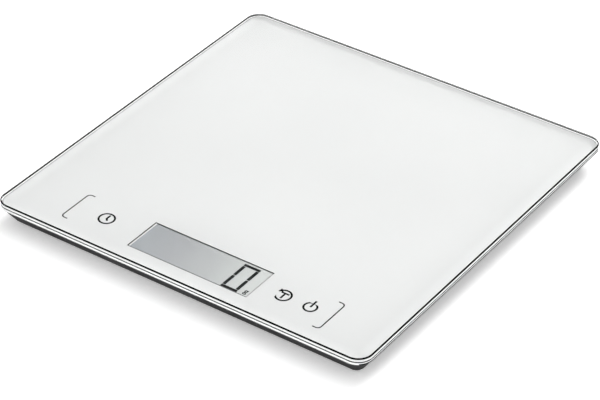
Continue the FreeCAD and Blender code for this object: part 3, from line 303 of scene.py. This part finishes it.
def joined(name, pieces):
    """Several meshes as one piece."""
    deselect_all()
    for piece in pieces:
        piece.select_set(True)
    bpy.context.view_layer.objects.active = pieces[0]
    bpy.ops.object.join()
    piece = bpy.context.object
    piece.name = name
    return piece


def turned(piece, angle, centre):
    """Turns a flat piece about an upright axis, anticlockwise seen from above."""
    edit(piece, "VERT")
    bpy.ops.mesh.select_all(action="SELECT")
    bpy.ops.transform.rotate(value=-angle, orient_axis="Z", center_override=centre)
    return done(piece)


def smooth(piece, degrees):
    """Shades a piece smooth apart from its sharper edges."""
    take(piece)
    bpy.ops.object.shade_smooth_by_angle(angle=math.radians(degrees))
    return piece


def finish(piece, look, body=ROOT, stands_for=()):
    """Gives a piece its finish and ties it to the frame."""
    piece.data.materials.clear()
    piece.data.materials.append(look)
    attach(piece, body)
    for node in stands_for:
        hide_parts(node)
    return piece


# ---------------------------------------------------------------- shader maths

class Term:
    """A socket's value in a shader expression. Each operator adds a Math node."""

    def __init__(self, look, socket):
        self.look = look
        self.socket = socket

    def __add__(self, other):
        return self.look.maths("ADD", self, other)

    def __sub__(self, other):
        return self.look.maths("SUBTRACT", self, other)

    def __mul__(self, other):
        return self.look.maths("MULTIPLY", self, other)


class Look:
    """A material and the nodes that make it."""

    def __init__(self, name):
        self.material = bpy.data.materials.new(name)
        self.material.use_nodes = True
        self.tree = self.material.node_tree
        self.tree.nodes.clear()
        self.place = self.add("ShaderNodeTexCoord", {}, {}, "Object")

    def add(self, kind, settings, sockets, output=0):
        """Adds a node: its settings first, then the values or links of its sockets."""
        node = self.tree.nodes.new(kind)
        for name, value in settings.items():
            if name == "stops":
                self.set_stops(node.color_ramp, value)
            else:
                setattr(node, name, value)
        for name, value in sockets.items():
            if isinstance(value, Term):
                self.tree.links.new(value.socket, node.inputs[name])
            else:
                node.inputs[name].default_value = value
        return Term(self, node.outputs[output]) if node.outputs else None

    def set_stops(self, ramp, stops):
        """Fills a colour ramp from (position, colour) pairs."""
        while len(ramp.elements) < len(stops):
            ramp.elements.new(0.5)
        for element, (position, colour) in zip(ramp.elements, stops):
            element.position = position
            element.color = colour

    def maths(self, operation, first, second):
        """One Math node."""
        return self.add("ShaderNodeMath", {"operation": operation}, {0: first, 1: second})

    def part(self, axis):
        """One coordinate of the place on the piece."""
        return self.add("ShaderNodeSeparateXYZ", {}, {"Vector": self.place}, axis)

    def noise(self, scale, detail=3.0, roughness=0.5):
        """Noise between 0 and 1 over the piece."""
        sockets = {"Vector": self.place, "Scale": scale, "Detail": detail, "Roughness": roughness}
        return self.add("ShaderNodeTexNoise", {}, sockets, "Fac")

    def stretched_noise(self, stretch, scale, detail=4.0):
        """Noise drawn out along an axis, as brushing leaves it."""
        drawn = self.add("ShaderNodeMapping", {}, {"Vector": self.place, "Scale": stretch})
        sockets = {"Vector": drawn, "Scale": scale, "Detail": detail}
        return self.add("ShaderNodeTexNoise", {}, sockets, "Fac")

    def fade(self, value, low, high, start=0.0, end=1.0):
        """Value remapped from low..high to start..end and held there."""
        sockets = {"Value": value, "From Min": low, "From Max": high, "To Min": start, "To Max": end}
        return self.add("ShaderNodeMapRange", {"clamp": True}, sockets)

    def blend(self, amount, first, second):
        """Mix of two colours."""
        sockets = {0: amount, 6: first, 7: second}
        return self.add("ShaderNodeMix", {"data_type": "RGBA"}, sockets, 2)

    def bump(self, height, strength, distance):
        """Normals from a height."""
        sockets = {"Height": height, "Strength": strength, "Distance": distance}
        return self.add("ShaderNodeBump", {}, sockets)

    def surface(self, sockets):
        """A Principled surface."""
        return self.add("ShaderNodeBsdfPrincipled", {}, sockets)

    def output(self, shader):
        """Ends the node tree and returns the material."""
        self.add("ShaderNodeOutputMaterial", {}, {"Surface": shader})
        return self.material


def grey(level, alpha=1.0):
    """A neutral colour."""
    return (level, level, level, alpha)


def tint(red, green, blue):
    """A colour from linear parts."""
    return (red, green, blue, 1.0)


# ---------------------------------------------------------------- finishes

def moulded_plastic(name, colour, roughness, grain_scale=5200, grain_height=0.03 * MM, shine=0.5):
    """Moulded plastic with a spark-eroded grain, faint handling marks and paler scuffs."""
    look = Look(name)
    grain = look.noise(grain_scale, detail=2.0)
    flow = look.noise(38, detail=3.0)
    scuffs = look.fade(look.stretched_noise((1, 9, 4), 240), 0.66, 0.78)
    lighter = tuple(min(1, part * 1.45 + 0.008) for part in colour[:3]) + (1.0,)
    base = look.blend(look.fade(flow, 0.35, 0.7, 0.0, 0.35), colour, lighter)
    base = look.blend(scuffs * 0.12, base, lighter)
    return look.output(look.surface({
        "Base Color": base,
        "Roughness": look.fade(flow, 0.3, 0.7, roughness - 0.06, roughness + 0.08) - scuffs * 0.08,
        "Specular IOR Level": shine,
        "Normal": look.bump(grain, 0.35, grain_height),
    }))


def rubber(name, colour, roughness=0.78):
    """Soft rubber with dust in its pores."""
    look = Look(name)
    pores = look.noise(2600, detail=4.0, roughness=0.65)
    dust = look.fade(look.noise(90, detail=5.0), 0.55, 0.8)
    dusty = tuple(part * 1.5 + 0.03 for part in colour[:3]) + (1.0,)
    return look.output(look.surface({
        "Base Color": look.blend(dust * 0.4, colour, dusty),
        "Roughness": look.fade(pores, 0.3, 0.7, roughness - 0.08, roughness + 0.1),
        "Normal": look.bump(pores, 0.5, 0.04 * MM),
    }))


def metal(name, colour, roughness, brushing, wear=0.2):
    """Bare or plated metal, brushed along an axis, with darker worn patches."""
    look = Look(name)
    strokes = look.stretched_noise(brushing, 900)
    patches = look.fade(look.noise(140, detail=5.0), 0.5, 0.75)
    darker = tuple(part * 0.62 for part in colour[:3]) + (1.0,)
    return look.output(look.surface({
        "Base Color": look.blend(patches * wear, colour, darker),
        "Metallic": 1.0,
        "Roughness": look.fade(strokes, 0.3, 0.7, roughness - 0.07, roughness + 0.12) + patches * 0.1,
        "Normal": look.bump(strokes, 0.25, 0.01 * MM),
    }))


def clear_glass():
    """Polished toughened glass. Shadow rays pass, so that light reaches the print under it."""
    look = Look("clear_glass")
    smudges = look.fade(look.noise(26, detail=6.0, roughness=0.62), 0.5, 0.82)
    streaks = look.fade(look.stretched_noise((1, 6, 1), 30, 5.0), 0.6, 0.85)
    ripple = look.noise(9, detail=1.0)
    glass = look.surface({
        "Base Color": tint(0.985, 0.995, 0.99),
        "Roughness": smudges * 0.02 + streaks * 0.015,
        "IOR": GLASS_INDEX,
        "Transmission Weight": 1.0,
        "Normal": look.bump(ripple, 0.05, 0.02 * MM),
    })
    clear = look.add("ShaderNodeBsdfTransparent", {}, {"Color": tint(0.98, 0.99, 0.985)})
    shadow = look.add("ShaderNodeLightPath", {}, {}, "Is Shadow Ray")
    return look.output(look.add("ShaderNodeMixShader", {}, {0: shadow, 1: glass, 2: clear}))


def dark_edge_strip(name, dark, pale, shine):
    """A narrow dark strip on the glass edge, darker than the polished faces; it serves for painted shade
    and for a darker line half-way down.
    """
    look = Look(name)
    grind = look.stretched_noise((1, 1, 30), 1400)
    chips = look.fade(look.noise(700, detail=4.0), 0.62, 0.8)
    return look.output(look.surface({
        "Base Color": look.blend(chips * 0.5, dark, pale),
        "Roughness": look.fade(grind, 0.3, 0.7, 0.3, 0.5),
        "Specular IOR Level": shine,
        "Normal": look.bump(grind, 0.3, 0.01 * MM),
    }))


def white_print():
    """Opaque white screen print, slightly uneven, and painted paler towards its rim as painted light."""
    look = Look("white_print")
    mesh = look.noise(3400, detail=1.0)
    coats = look.noise(7, detail=3.0)
    across = look.maths("ABSOLUTE", look.part("X"), 0.0)
    along = look.maths("ABSOLUTE", look.part("Y"), 0.0)
    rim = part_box("plate_print")[1].x
    # painted light: the print turns whiter near its rim, standing in for extra light near the glass edge
    rim_light = look.fade(look.maths("MAXIMUM", across, along), rim - PRINT_RIM, rim)
    base = look.blend(look.fade(coats, 0.35, 0.65), grey(0.73), grey(0.75))
    return look.output(look.surface({
        "Base Color": look.blend(rim_light, base, grey(0.86)),
        "Roughness": look.fade(mesh, 0.3, 0.7, 0.5, 0.62),
        "Normal": look.bump(mesh, 0.15, 0.005 * MM),
    }))


def flat_mark_look(name, level=0.003):
    """Flat printed finish for marks, black unless a paler level is given, its tone softened by tiny
    pinholes; in grey it also serves for the lines of painted shade.
    """
    look = Look(name)
    pinholes = look.fade(look.noise(4200, detail=2.0), 0.6, 0.8)
    return look.output(look.surface({
        "Base Color": look.blend(pinholes * 0.3, grey(level), grey(level + 0.015)),
        "Roughness": look.fade(pinholes, 0.0, 1.0, 0.45, 0.6),
        "Specular IOR Level": 0.04,
    }))


def display_glass():
    """The face of the display: a grey with a painted reflection, paler towards the right and a little
    towards the rear.
    """
    look = Look("display_glass")
    across = look.part("X")
    front, rear = window_y_range()
    depth = look.part("Y")
    cell = look.noise(1500, detail=2.0)
    # painted reflection: the grey turns paler towards the right and a little towards the rear, standing in
    # for the surroundings mirrored in the display
    stops = [
        (0.0, tint(0.335, 0.35, 0.37)),
        (0.35, tint(0.37, 0.372, 0.388)),
        (0.7, tint(0.455, 0.46, 0.465)),
        (1.0, tint(0.59, 0.595, 0.59)),
    ]
    run = look.fade(across, -DISPLAY_REFLECTION_SPAN, DISPLAY_REFLECTION_SPAN) + look.fade(depth, front, rear, 0.0, 0.08)
    ramp = look.add("ShaderNodeValToRGB", {"stops": stops}, {"Fac": run})
    return look.output(look.surface({
        "Base Color": look.blend(look.fade(cell, 0.4, 0.6, 0.0, 0.05), ramp, grey(0.3)),
        "Roughness": look.fade(cell, 0.3, 0.7, 0.18, 0.26),
        "Coat Weight": look.fade(cell, 0.0, 1.0, 0.5, 0.6),
    }))


def window_y_range():
    """Front and rear borders of the display window."""
    low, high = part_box("display_panel")
    return low.y + WINDOW_INSET, high.y - WINDOW_INSET


def board_laminate():
    """Green solder mask with the weave and the tracks showing through."""
    look = Look("board_laminate")
    tracks = look.add("ShaderNodeTexWave", {"wave_type": "BANDS", "bands_direction": "DIAGONAL"},
                      {"Vector": look.place, "Scale": 180.0, "Distortion": 2.5, "Detail": 1.0}, "Fac")
    lines = look.fade(tracks, 0.62, 0.7)
    weave = look.noise(1900, detail=2.0)
    return look.output(look.surface({
        "Base Color": look.blend(lines * 0.55, tint(0.008, 0.07, 0.025), tint(0.02, 0.16, 0.06)),
        "Roughness": look.fade(weave, 0.3, 0.7, 0.28, 0.42),
        "Normal": look.bump(lines, 0.4, 0.03 * MM),
    }))


def contact_rubber():
    """Layered silicone: thin conducting lines between pink insulating ones."""
    look = Look("contact_rubber")
    layers = look.add("ShaderNodeTexWave", {"wave_type": "BANDS", "bands_direction": "X"},
                      {"Vector": look.place, "Scale": 700.0, "Distortion": 0.1}, "Fac")
    pores = look.noise(2500)
    return look.output(look.surface({
        "Base Color": look.blend(look.fade(layers, 0.4, 0.6), tint(0.55, 0.2, 0.2), grey(0.03)),
        "Roughness": look.fade(pores, 0.3, 0.7, 0.55, 0.7),
    }))


def film(name, colour, roughness, metallic=0.0):
    """Thin film or label stock with faint creases."""
    look = Look(name)
    creases = look.noise(110, detail=5.0, roughness=0.6)
    fibres = look.stretched_noise((1, 5, 1), 800)
    darker = tuple(part * 0.86 for part in colour[:3]) + (1.0,)
    return look.output(look.surface({
        "Base Color": look.blend(look.fade(fibres, 0.35, 0.75, 0.0, 0.5), colour, darker),
        "Metallic": metallic,
        "Roughness": look.fade(creases, 0.3, 0.7, roughness - 0.06, roughness + 0.1),
        "Normal": look.bump(creases, 0.3, 0.02 * MM),
    }))


def chip_epoxy():
    """Black moulded epoxy, faintly speckled."""
    look = Look("chip_epoxy")
    speckle = look.noise(3000, detail=3.0)
    return look.output(look.surface({
        "Base Color": look.blend(look.fade(speckle, 0.5, 0.75, 0.0, 0.6), grey(0.013), grey(0.04)),
        "Roughness": look.fade(speckle, 0.3, 0.7, 0.5, 0.66),
        "Normal": look.bump(speckle, 0.4, 0.015 * MM),
    }))


def floor_look():
    """Plain pale studio floor, with a weak glow that keeps the shadow light."""
    look = Look("studio_floor")
    cloud = look.noise(2.0, detail=2.0)
    return look.output(look.surface({
        "Base Color": look.blend(cloud, grey(0.93), grey(0.95)),
        "Roughness": 0.95,
        "Specular IOR Level": 0.0,
        "Emission Color": grey(1.0),
        "Emission Strength": FLOOR_GLOW,
    }))


def make_finishes():
    """One finish for each material slot of the record."""
    steel = tint(0.56, 0.56, 0.57)
    return {
        "clear_glass": clear_glass(),
        "white_print": white_print(),
        "tape": rubber("tape", grey(0.02), 0.85),
        "black_housing": moulded_plastic("black_housing", grey(0.007), 0.46, shine=0.04),
        "black_trim": moulded_plastic("black_trim", grey(0.011), 0.38, grain_scale=6500, shine=0.35),
        "foot_rubber": rubber("foot_rubber", grey(0.06)),
        "cell_steel": metal("cell_steel", steel, 0.34, (1, 14, 14)),
        "silicone": rubber("silicone", grey(0.72), 0.5),
        "white_plastic": moulded_plastic("white_plastic", tint(0.72, 0.72, 0.69), 0.5),
        "display_glass": display_glass(),
        "reflector_film": film("reflector_film", tint(0.62, 0.66, 0.65), 0.35, metallic=0.8),
        "contact_rubber": contact_rubber(),
        "board_laminate": board_laminate(),
        "chip_epoxy": chip_epoxy(),
        "bright_metal": metal("bright_metal", grey(0.68), 0.22, (9, 9, 1), wear=0.12),
        "buzzer_brass": metal("buzzer_brass", tint(0.62, 0.44, 0.17), 0.3, (12, 1, 1)),
        "coin_steel": metal("coin_steel", tint(0.66, 0.66, 0.64), 0.28, (1, 10, 10), wear=0.1),
        "grey_sleeve": rubber("grey_sleeve", grey(0.19), 0.5),
        "red_sleeve": rubber("red_sleeve", tint(0.42, 0.02, 0.015), 0.45),
        "black_sleeve": rubber("black_sleeve", grey(0.02), 0.45),
        "label_film": film("label_film", grey(0.66), 0.42),
    }


def dress_nodes(finishes):
    """Gives every CAD node the finish of its slot."""
    for part in frame["record"]["subparts"]:
        materials = nodes[part["node"]].data.materials
        materials.clear()
        materials.append(finishes[part["material_slot"]])


# ---------------------------------------------------------------- glass plate

def make_glass(finishes):
    """The plate: rounded corners, bevelled arrises, and dark strips on its edge.

    The arrises are near black as painted shade. One strip, a darker grey line, runs all round half-way
    down; the other, at the foot of the left and right edges, is painted shade.
    """
    low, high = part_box("glass_plate")
    low.z -= GLASS_OVERLAP
    plate = round_corners(block("glass_body", low, high), PLATE_CORNER, CORNER_STEPS)
    for level, width in ((high.z, ARRIS), (low.z, LOWER_ARRIS)):
        bevel_edges(plate, at_height(level, LOWER_ARRIS / 10), width)
    seam = high.z - SEAM_DROP
    strip = low.z + FOOT_STRIP
    for height in (seam, seam - SEAM_HEIGHT, strip):
        score(plate, height)
    smooth(plate, 20)
    finish(plate, finishes["clear_glass"], stands_for=["glass_plate"])
    # painted shade: the arrises are near black and the foot of the left and right edges is dark; the line
    # half-way down is a darker grey
    plate.data.materials.append(dark_edge_strip("arris_shade", grey(0.002), grey(0.012), 0.0))
    plate.data.materials.append(dark_edge_strip("mid_line_and_side_shade", tint(0.012, 0.014, 0.014), grey(0.03), 0.05))
    arris_slot, seam_slot = 1, 2
    for face in plate.data.polygons:
        slanted = 0.3 < abs(face.normal.z) < 0.95
        in_seam = seam - SEAM_HEIGHT < face.center.z < seam
        in_foot = face.center.z < strip and abs(face.normal.x) > 0.6
        if slanted:
            face.material_index = arris_slot
        elif in_seam or in_foot:
            face.material_index = seam_slot
    return plate


# ---------------------------------------------------------------- printed marks

def mark_height():
    """Underside of the printed marks, just inside the white print."""
    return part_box("plate_print")[1].z - INK_SINK


def centre_of(node):
    """Middle of a CAD node, at the height of the marks."""
    low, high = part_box(node)
    return Vector(((low.x + high.x) / 2, (low.y + high.y) / 2, mark_height()))


def ring(name, centre, radius, line):
    """A flat ring."""
    return hollow(disc(name, radius, centre), line)


def bar(name, centre, width, height, angle=0.0, pivot=None):
    """A flat bar, turned about a pivot."""
    half = Vector((width / 2, height / 2, 0))
    piece = sheet(name, Vector(centre) - half, Vector(centre) + half)
    return turned(piece, angle, Vector(pivot if pivot is not None else centre))


def make_brackets(mark_look):
    """The two square brackets that frame the touch marks and the display."""
    middle = centre_of("main_board")
    for name, side in (("left", -1), ("right", 1)):
        outer = Vector((BRACKET_SHIFT + side * BRACKET_X, middle.y, middle.z))
        inner = outer - Vector((side * BRACKET_REACH, 0, 0))
        half = Vector((0, BRACKET_HEIGHT / 2, 0))
        low = Vector((min(outer.x, inner.x), outer.y, outer.z)) - half
        high = Vector((max(outer.x, inner.x), outer.y, outer.z)) + half
        piece = round_flat_corners(sheet(f"bracket_{name}", low, high), BRACKET_RADIUS, BRACKET_STEPS)
        hollow(piece, BRACKET_LINE)
        trim(piece, outer - Vector((side * BRACKET_ARM, 0, 0)), Vector((-side, 0, 0)))
        finish(thicken(piece, INK_HEIGHT), mark_look)


def make_clock(mark_look):
    """Timer mark: a clock face with two hands."""
    centre = centre_of("touch_spring_timer")
    long = CLOCK_RADIUS * CLOCK_LONG_HAND
    short = CLOCK_RADIUS * CLOCK_SHORT_HAND
    long_hand = bar("hand", centre + Vector((0, long / 2, 0)), ICON_LINE, long + ICON_LINE)
    short_hand = bar("hand", centre + Vector((short / 2, 0, 0)), short, ICON_LINE, CLOCK_HOUR, centre)
    face = ring("timer_mark", centre, CLOCK_RADIUS, ICON_LINE)
    finish(thicken(joined("timer_mark", [face, long_hand, short_hand]), INK_HEIGHT), mark_look)


def make_tare(mark_look):
    """Tare mark: a circle, open on the left, that ends in an arrow head, round a letter T."""
    centre = centre_of("touch_spring_tare")
    face = ring("tare_mark", centre, TARE_RADIUS, ICON_LINE)
    wedge = Vector((math.cos(TARE_GAP_MIDDLE), math.sin(TARE_GAP_MIDDLE), 0))
    trim(face, centre + wedge * TARE_RADIUS * TARE_GAP_DEPTH, wedge)
    start = TARE_GAP_MIDDLE - math.acos(TARE_GAP_DEPTH)
    tip = centre + Vector((math.cos(start), math.sin(start), 0)) * (TARE_RADIUS - ICON_LINE / 2)
    head = turned(disc("arrow", TARE_ARROW, tip, 3), start, tip)
    top = bar("top", centre + Vector((0, TARE_RADIUS * LETTER_TOP, 0)), TARE_RADIUS, ICON_LINE)
    stem = bar("stem", centre - Vector((0, TARE_RADIUS * LETTER_DROP, 0)), ICON_LINE, TARE_RADIUS)
    finish(thicken(joined("tare_mark", [face, head, top, stem]), INK_HEIGHT), mark_look)


def make_power(mark_look):
    """Power mark: an open circle with a stem in the gap."""
    centre = centre_of("touch_spring_power")
    face = ring("power_mark", centre, POWER_RADIUS, ICON_LINE)
    trim(face, centre + Vector((0, POWER_RADIUS * POWER_GAP_DEPTH, 0)), Vector((0, 1, 0)))
    length = POWER_RADIUS * POWER_STEM
    stem = bar("stem", centre + Vector((0, length / 2, 0)), ICON_LINE, length)
    finish(thicken(joined("power_mark", [face, stem]), INK_HEIGHT), mark_look)


def make_window_border():
    """Fine lines of painted shade round the display window: dark behind and left, pale in front and right.
    """
    front, rear = window_y_range()
    height = mark_height()
    right = WINDOW_X + WINDOW_WIDTH / 2
    inner = WINDOW_X - WINDOW_WIDTH / 2 - BORDER_STEP
    outer = inner - BORDER_LINE
    # painted shade where the print's edge meets the display window: dark lines behind and on the left,
    # paler ones in front and on the right
    dark = flat_mark_look("border_shade")
    strips = (
        ("rear", dark, (outer, rear), (right + FINE_LINE, rear + BORDER_LINE)),
        ("left", dark, (outer, front), (inner, rear)),
        ("front", flat_mark_look("front_shade", FRONT_SHADE), (outer, front - FINE_LINE), (right, front)),
        ("right", flat_mark_look("right_shade", RIGHT_SHADE), (right, front - FINE_LINE), (right + FINE_LINE, rear)),
    )
    # each of these lines is painted shade
    for name, mark_look, corner, opposite in strips:
        strip = sheet(f"window_border_{name}", (*corner, height), (*opposite, height))
        finish(thicken(strip, INK_HEIGHT), mark_look)


def make_rim_line():
    """A pale grey line of painted shade along the print's border behind and on the left, standing in for
    the shaded floor seen through the clear margin.
    """
    low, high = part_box("plate_print")
    low = Vector((low.x, low.y, mark_height()))
    high = Vector((high.x, high.y, mark_height()))
    piece = round_flat_corners(sheet("rim_line", low, high), PLATE_CORNER - PRINT_MARGIN, CORNER_STEPS)
    hollow(piece, RIM_LINE)
    trim(piece, (low + high) / 2, Vector((1, -1, 0)).normalized())
    # painted shade: a pale grey line at the print's border
    finish(thicken(piece, INK_HEIGHT), flat_mark_look("rim_shade", RIM_SHADE))


# ---------------------------------------------------------------- display

def segment(name, centre, length, upright):
    """One bar of a digit, with its corners cut."""
    half = Vector((length / 2, SEGMENT_LINE / 2, 0))
    piece = sheet(name, centre - half, centre + half)
    edit(piece, "VERT")
    bpy.ops.mesh.select_all(action="SELECT")
    bpy.ops.mesh.bevel(offset=SEGMENT_POINT, segments=1, affect="VERTICES")
    done(piece)
    if upright:
        turned(piece, math.radians(90), centre)
    return piece


def make_digit(mark_look):
    """The digit 0 on the display: two level bars and four upright ones."""
    low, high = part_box("display_panel")
    centre = Vector((DIGIT_CENTRE_X, (low.y + high.y) / 2 + DIGIT_OFFSET_Y, high.z))
    reach = Vector(((DIGIT_WIDTH - SEGMENT_LINE) / 2, (DIGIT_HEIGHT - SEGMENT_LINE) / 2, 0))
    length = reach.y - SEGMENT_LINE / 2 - 2 * SEGMENT_GAP
    bars = []
    for side in (-1, 1):
        place = centre + Vector((0, side * reach.y, 0))
        bars.append(segment("level", place, DIGIT_WIDTH, False))
        for half in (-1, 1):
            place = centre + Vector((side * reach.x, half * (SEGMENT_GAP + length / 2), 0))
            bars.append(segment("upright", place, length, True))
    finish(thicken(joined("display_digit", bars), SEGMENT_HEIGHT), mark_look)


def make_unit(mark_look):
    """The unit after the digit, as a small g for grams."""
    low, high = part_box("display_panel")
    centre = Vector((UNIT_X, (low.y + high.y) / 2 + UNIT_OFFSET_Y, high.z + SEGMENT_HEIGHT / 2))
    deselect_all()
    bpy.ops.object.text_add(location=(0, 0, 0))
    text = bpy.context.object
    text.data.body = "g"
    text.data.size = UNIT_SIZE
    text.data.align_x = "CENTER"
    text.data.offset = UNIT_WEIGHT
    text.data.extrude = SEGMENT_HEIGHT / 2
    bpy.ops.object.convert(target="MESH")
    piece = bpy.context.object
    piece.name = "display_unit"
    piece.location = centre
    finish(settle(piece), mark_look)


# ---------------------------------------------------------------- feet

def is_sole_edge(edge, level):
    """Whether an edge of the sole turns up into a side."""
    in_sole = at_height(level, SOLE_SLACK)(edge)
    return in_sole and any(face.normal.z > -0.5 for face in edge.link_faces)


def make_foot_pads(finishes):
    """Rubber pads with two grooves in their soles."""
    for corner in CORNERS:
        node = f"foot_pad_{corner}"
        low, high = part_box(node)
        radius = (high.x - low.x) / 2
        deselect_all()
        bpy.ops.mesh.primitive_cylinder_add(vertices=RING_STEPS, radius=radius, depth=high.z - low.z,
                                            location=(low + high) / 2)
        pad = settle(bpy.context.object)
        pad.name = f"rubber_pad_{corner}"
        mesh = edit(pad, "FACE")
        pick(pad, mesh.faces, lambda face: face.normal.z < -0.9)
        for rise in (0, GROOVE_DEPTH, -GROOVE_DEPTH, GROOVE_DEPTH, -GROOVE_DEPTH):
            bpy.ops.mesh.inset(thickness=radius * SOLE_STEP)
            bpy.ops.transform.translate(value=(0, 0, rise))
        done(pad)
        bevel_edges(pad, lambda edge: is_sole_edge(edge, low.z), SOLE_EDGE, 2)
        smooth(pad, 35)
        finish(pad, finishes["foot_rubber"], stands_for=[node])


# ---------------------------------------------------------------- studio

def make_floor():
    """The floor that the scale stands on."""
    floor = sheet("studio_floor", (-FLOOR_REACH, -FLOOR_REACH, 0), (FLOOR_REACH, FLOOR_REACH, 0))
    floor.data.materials.append(floor_look())


def soft_light(name, place, aim, size, power):
    """A large soft light that faces a point and isn't mirrored in the glass."""
    light = bpy.data.lights.new(name, "AREA")
    light.shape = "DISK"
    light.size = size
    light.energy = power
    holder = bpy.data.objects.new(name, light)
    bpy.context.scene.collection.objects.link(holder)
    holder.location = place
    holder.rotation_euler = (Vector(aim) - Vector(place)).to_track_quat("-Z", "Y").to_euler()
    holder.visible_glossy = False


def make_world():
    """Soft surroundings: bright above and towards the front right, dim behind on the left."""
    world = bpy.data.worlds.new("studio")
    world.use_nodes = True
    bpy.context.scene.world = world
    tree = world.node_tree
    view = tree.nodes.new("ShaderNodeTexCoord")
    lean = tree.nodes.new("ShaderNodeVectorMath")
    lean.operation = "DOT_PRODUCT"
    lean.inputs[1].default_value = SKY_AXIS
    level = tree.nodes.new("ShaderNodeMapRange")
    level.inputs["From Min"].default_value = SKY_FADE[0]
    level.inputs["From Max"].default_value = SKY_FADE[1]
    level.inputs["To Min"].default_value = SKY_DIM
    level.inputs["To Max"].default_value = SKY
    tree.links.new(view.outputs["Generated"], lean.inputs[0])
    tree.links.new(lean.outputs["Value"], level.inputs["Value"])
    tree.links.new(level.outputs["Result"], tree.nodes["Background"].inputs["Strength"])
    tree.nodes["Background"].inputs["Color"].default_value = grey(1.0)


def make_camera():
    """A long lens above the front right corner."""
    level = math.cos(CAMERA_ELEVATION)
    away = Vector((
        level * math.sin(CAMERA_AZIMUTH),
        -level * math.cos(CAMERA_AZIMUTH),
        math.sin(CAMERA_ELEVATION),
    ))
    data = bpy.data.cameras.new("camera")
    data.lens = CAMERA_LENS
    data.sensor_width = CAMERA_SENSOR
    camera = bpy.data.objects.new("camera", data)
    bpy.context.scene.collection.objects.link(camera)
    camera.location = CAMERA_AIM + away * CAMERA_DISTANCE
    camera.rotation_euler = (-away).to_track_quat("-Z", "Y").to_euler()
    bpy.context.scene.camera = camera


def main():
    finishes = make_finishes()
    dress_nodes(finishes)
    make_glass(finishes)
    mark_look = flat_mark_look("flat_mark_look")
    make_brackets(mark_look)
    make_clock(mark_look)
    make_tare(mark_look)
    make_power(mark_look)
    make_window_border()
    make_rim_line()
    segment_ink = flat_mark_look("segment_ink")
    make_digit(segment_ink)
    make_unit(segment_ink)
    make_foot_pads(finishes)
    make_floor()
    make_world()
    soft_light("key", KEY_PLACE, (0, 0, 0), KEY_SIZE, KEY_POWER)
    make_camera()
    bpy.context.scene.view_settings.view_transform = "Standard"
    deselect_all()


main()
